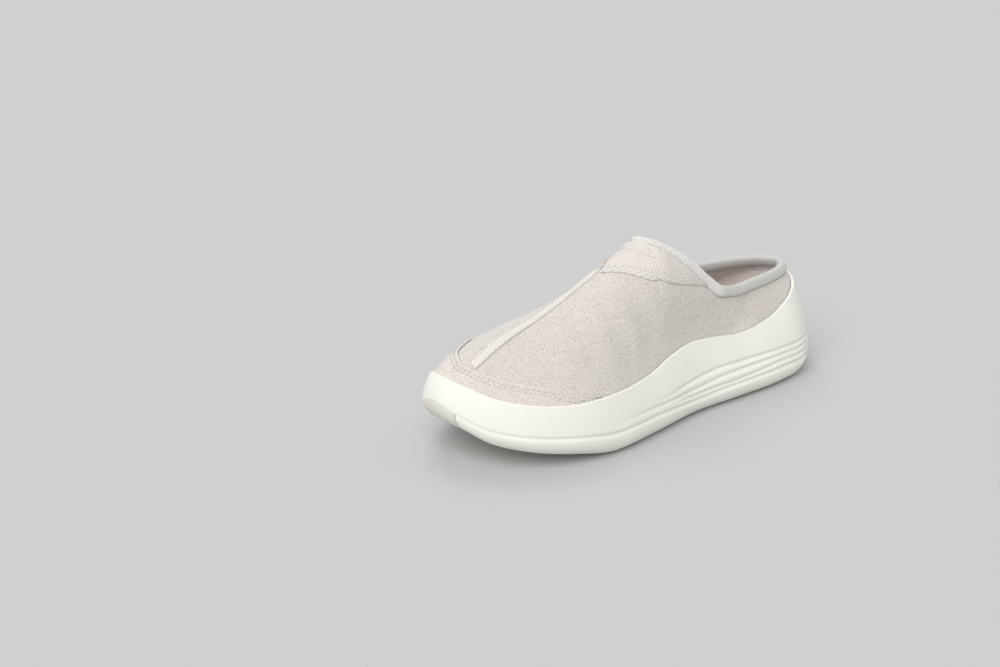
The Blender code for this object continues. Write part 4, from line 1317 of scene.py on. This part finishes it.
def row_of(name, bead, spots, along_way, up_way):
    """One mesh of copies of a bead, each set at a spot and turned along its seam."""
    points, faces = bead
    ahead = along_way / np.linalg.norm(along_way, axis=1, keepdims=True)
    up = up_way - np.einsum("ij,ij->i", up_way, ahead)[:, None] * ahead
    up = up / np.linalg.norm(up, axis=1, keepdims=True)
    beside = np.cross(up, ahead)
    turned = (points[None, :, 0:1] * ahead[:, None] + points[None, :, 1:2] * beside[:, None]
              + points[None, :, 2:3] * up[:, None] + spots[:, None])
    mesh = bpy.data.meshes.new(name)
    count = len(points)
    every = [tuple(i * count + k for k in face) for i in range(len(spots)) for face in faces]
    mesh.from_pydata(turned.reshape(-1, 3).tolist(), [], every)
    item = bpy.data.objects.new(name, mesh)
    bpy.context.collection.objects.link(item)
    pick_only(item)
    bpy.ops.object.shade_smooth()
    return item


grain = small_bead("grain", 5, 8, (3.2, 0.93, 0.80))
# A dark bead of painted shade, standing for the shadow inside one stitch hole.
hole_shade_bead = small_bead("hole_shade_bead", 4, 8, (1.25, 1.05, 0.55))


def seam_steps(line, pitch):
    """Evenly spaced places along a run of points, as fractions of its rows."""
    way = np.concatenate([[0.0], np.cumsum(np.linalg.norm(np.diff(line, axis=0), axis=1))])
    count = max(int(way[-1] / pitch), 2)
    return np.interp(np.linspace(0, way[-1], count), way, np.arange(len(line)))


def sew(side, share, part, pitch, lift, sway=0.0):
    """Spots, directions and normals of stitches along a seam on the upper."""
    line = upper_face(side, share, part, 0.0)
    at = seam_steps(line, pitch)
    s = np.interp(at, np.arange(len(share)), share)
    p = np.interp(at, np.arange(len(share)), part)
    spot = upper_face(side, s, p, 0.0)
    up = upper_normal(side, s, p)
    way = np.gradient(spot, axis=0)
    beside = np.cross(up, way)
    beside = beside / np.linalg.norm(beside, axis=1, keepdims=True)
    swing = np.where(np.arange(len(spot)) % 2 == 0, 1.0, -1.0)[:, None] * sway
    return spot + up * lift + beside * swing, way + beside * swing * 2.0, up


thread_spots = []
hole_shade_spots = []


def lay(rows, bead_list, shift=0.0):
    spot, way, up = rows
    ahead = way / np.linalg.norm(way, axis=1, keepdims=True)
    bead_list.append((spot + ahead * shift, way, up))


STITCH = 0.0027
for side, start in ((1, CAP_START + 0.004), (-1, CAP_START + 0.03)):
    share = np.linspace(start, 1.0, 160)
    for down in (0.0022, 0.0044):
        top = cap_top(side, share)
        lengths = np.linalg.norm(upper_plain(side, share, top + 0.01) - upper_plain(side, share, top), axis=1)
        part = np.maximum(top - 0.01 * down / lengths, 0.004)
        run = sew(side, share, part, STITCH, CAP_LIFT + 0.00012)
        lay(run, hole_shade_spots)
        lay(run, thread_spots, STITCH / 2)

for side in (1, -1):
    share = np.linspace(SIDE_TAPE[0][0] + 0.004, SIDE_TAPE[-1][0] - 0.004, 120)
    high = np.minimum(free_curve(SIDE_TAPE, 1, share), 1.0)
    low = free_curve(SIDE_TAPE, 2, share)
    for at in (0.14, 0.34, 0.66, 0.86):
        run = sew(side, share, low + (high - low) * at, 0.0021, TAPE_LIFT + 0.00010, 0.00045)
        lay(run, hole_shade_spots)
        if at in (0.34, 0.66):
            lay(run, thread_spots, 0.001)

for side in (1, -1):
    share = np.linspace(0.375, INSTEP - 0.003, 120)
    table = drops(side, share)
    base = table[0.0053]
    deep = table[0.0053] - (table[0.0042] - table[0.0053]) * 0.9
    for part, lift in ((base, 0.0008), (deep, 0.0001)):
        run = sew(side, share, part, 0.0023, lift, 0.0005)
        lay(run, hole_shade_spots)
    run = sew(side, share, table[0.0026], 0.0025, 0.00120, 0.0008)
    lay(run, hole_shade_spots)
    share = np.linspace(0.0, 0.372, 120)
    table = drops(side, share)
    deep = table[0.0056] - (table[0.0042] - table[0.0056]) * 0.35
    run = sew(side, share, deep, 0.0029, 0.0001)
    lay(run, hole_shade_spots)
    lay(run, thread_spots, 0.00145)

for across in (0.14, 0.86):
    line = centre_tape_face(np.full(140, across), np.linspace(0.01, 0.99, 140))
    at = seam_steps(line, 0.0025)
    spot = np.stack([np.interp(at, np.arange(140), line[:, axis]) for axis in range(3)], 1)
    up = np.tile((0.0, 0.0, 1.0), (len(spot), 1))
    lay((spot + up * 0.0001, np.gradient(spot, axis=0), up), hole_shade_spots)

share = np.linspace(0.5565, 0.533, 40)
line_part = np.interp(-share, (-0.5565, -0.553, -0.547, -0.543, -0.533), (0.997, 0.95, 0.89, 0.84, 0.765))
for side in (1, -1):
    run = sew(side, share, line_part, 0.0019, 0.0001, 0.0006)
    lay(run, hole_shade_spots)
    lay(run, thread_spots, 0.0009)

threads = row_of("stitch_threads", grain, *[np.vstack(group) for group in zip(*thread_spots)])
hole_shades = row_of("stitch_hole_shades", hole_shade_bead, *[np.vstack(group) for group in zip(*hole_shade_spots)])

thread_finish = Finish("thread_pale", Roughness=0.6, Specular_IOR_Level=0.3)
twist = thread_finish.noise(2500.0, 1.0)
thread_finish.feed(thread_finish.shader.inputs["Base Color"],
                   twist.tint((0.62, 0.59, 0.55), (0.80, 0.775, 0.74)))
thread_finish.relief(twist, 0.0001, 0.5)
thread_finish.wear_on(threads)
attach(threads, "root")

# Painted shade: the dark colour of the hole beads stands for the shadow inside the stitch holes.
hole_shade_finish = Finish("stitch_hole_shade", Roughness=0.95, Specular_IOR_Level=0.05)
hole_shade_finish.feed(hole_shade_finish.shader.inputs["Base Color"],
                 hole_shade_finish.noise(900.0).tint((0.40, 0.36, 0.33), (0.50, 0.455, 0.42)))
hole_shade_finish.wear_on(hole_shades)
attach(hole_shades, "root")


# Studio: a wide pale grey floor, even light from all round, a soft lamp from the toe side
# and a weak one from behind, which throws the faint shadow on the near side.
# The camera stands where the photograph's stood, 0.8 m from the shoe.
bpy.ops.object.select_all(action="DESELECT")
bpy.ops.mesh.primitive_plane_add(size=24.0, location=(0.0, 0.0, -0.0003))
floor = bpy.context.active_object
floor.name = "studio_floor"
floor_finish = Finish("floor_grey", Roughness=0.9, Specular_IOR_Level=0.0)
floor_finish.shader.inputs["Base Color"].default_value = (0.545, 0.545, 0.545, 1.0)
floor_finish.wear_on(floor)

world = bpy.data.worlds.new("studio")
bpy.context.scene.world = world
world.use_nodes = True
world.node_tree.nodes["Background"].inputs["Color"].default_value = (1.0, 1.0, 1.0, 1.0)
world.node_tree.nodes["Background"].inputs["Strength"].default_value = 0.60


def sun(name, strength, spread, towards):
    bpy.ops.object.light_add(type="SUN")
    lamp = bpy.context.active_object
    lamp.name = name
    lamp.data.energy = strength
    lamp.data.angle = math.radians(spread)
    away = np.array(towards, float)
    flat = math.hypot(away[0], away[1])
    lamp.rotation_euler = (math.atan2(flat, away[2]), 0.0, math.atan2(away[0], -away[1]))
    return lamp


sun("key_from_toe", 1.90, 50.0, (0.46, -0.76, 0.85))
sun("fill_from_behind", 0.55, 30.0, (-0.60, 0.25, 0.90))

bpy.ops.object.camera_add(location=(0.53744 - SIDE_SHIFT, -0.52841, 0.30763))
camera = bpy.context.active_object
camera.name = "photo_camera"
camera.rotation_euler = (math.radians(70.655), math.radians(0.306), math.radians(51.718))
camera.data.sensor_width = 36.0
camera.data.lens = 46.167
camera.data.clip_start = 0.01
camera.data.clip_end = 60.0
bpy.context.scene.camera = camera
bpy.context.scene.view_settings.view_transform = "Standard"
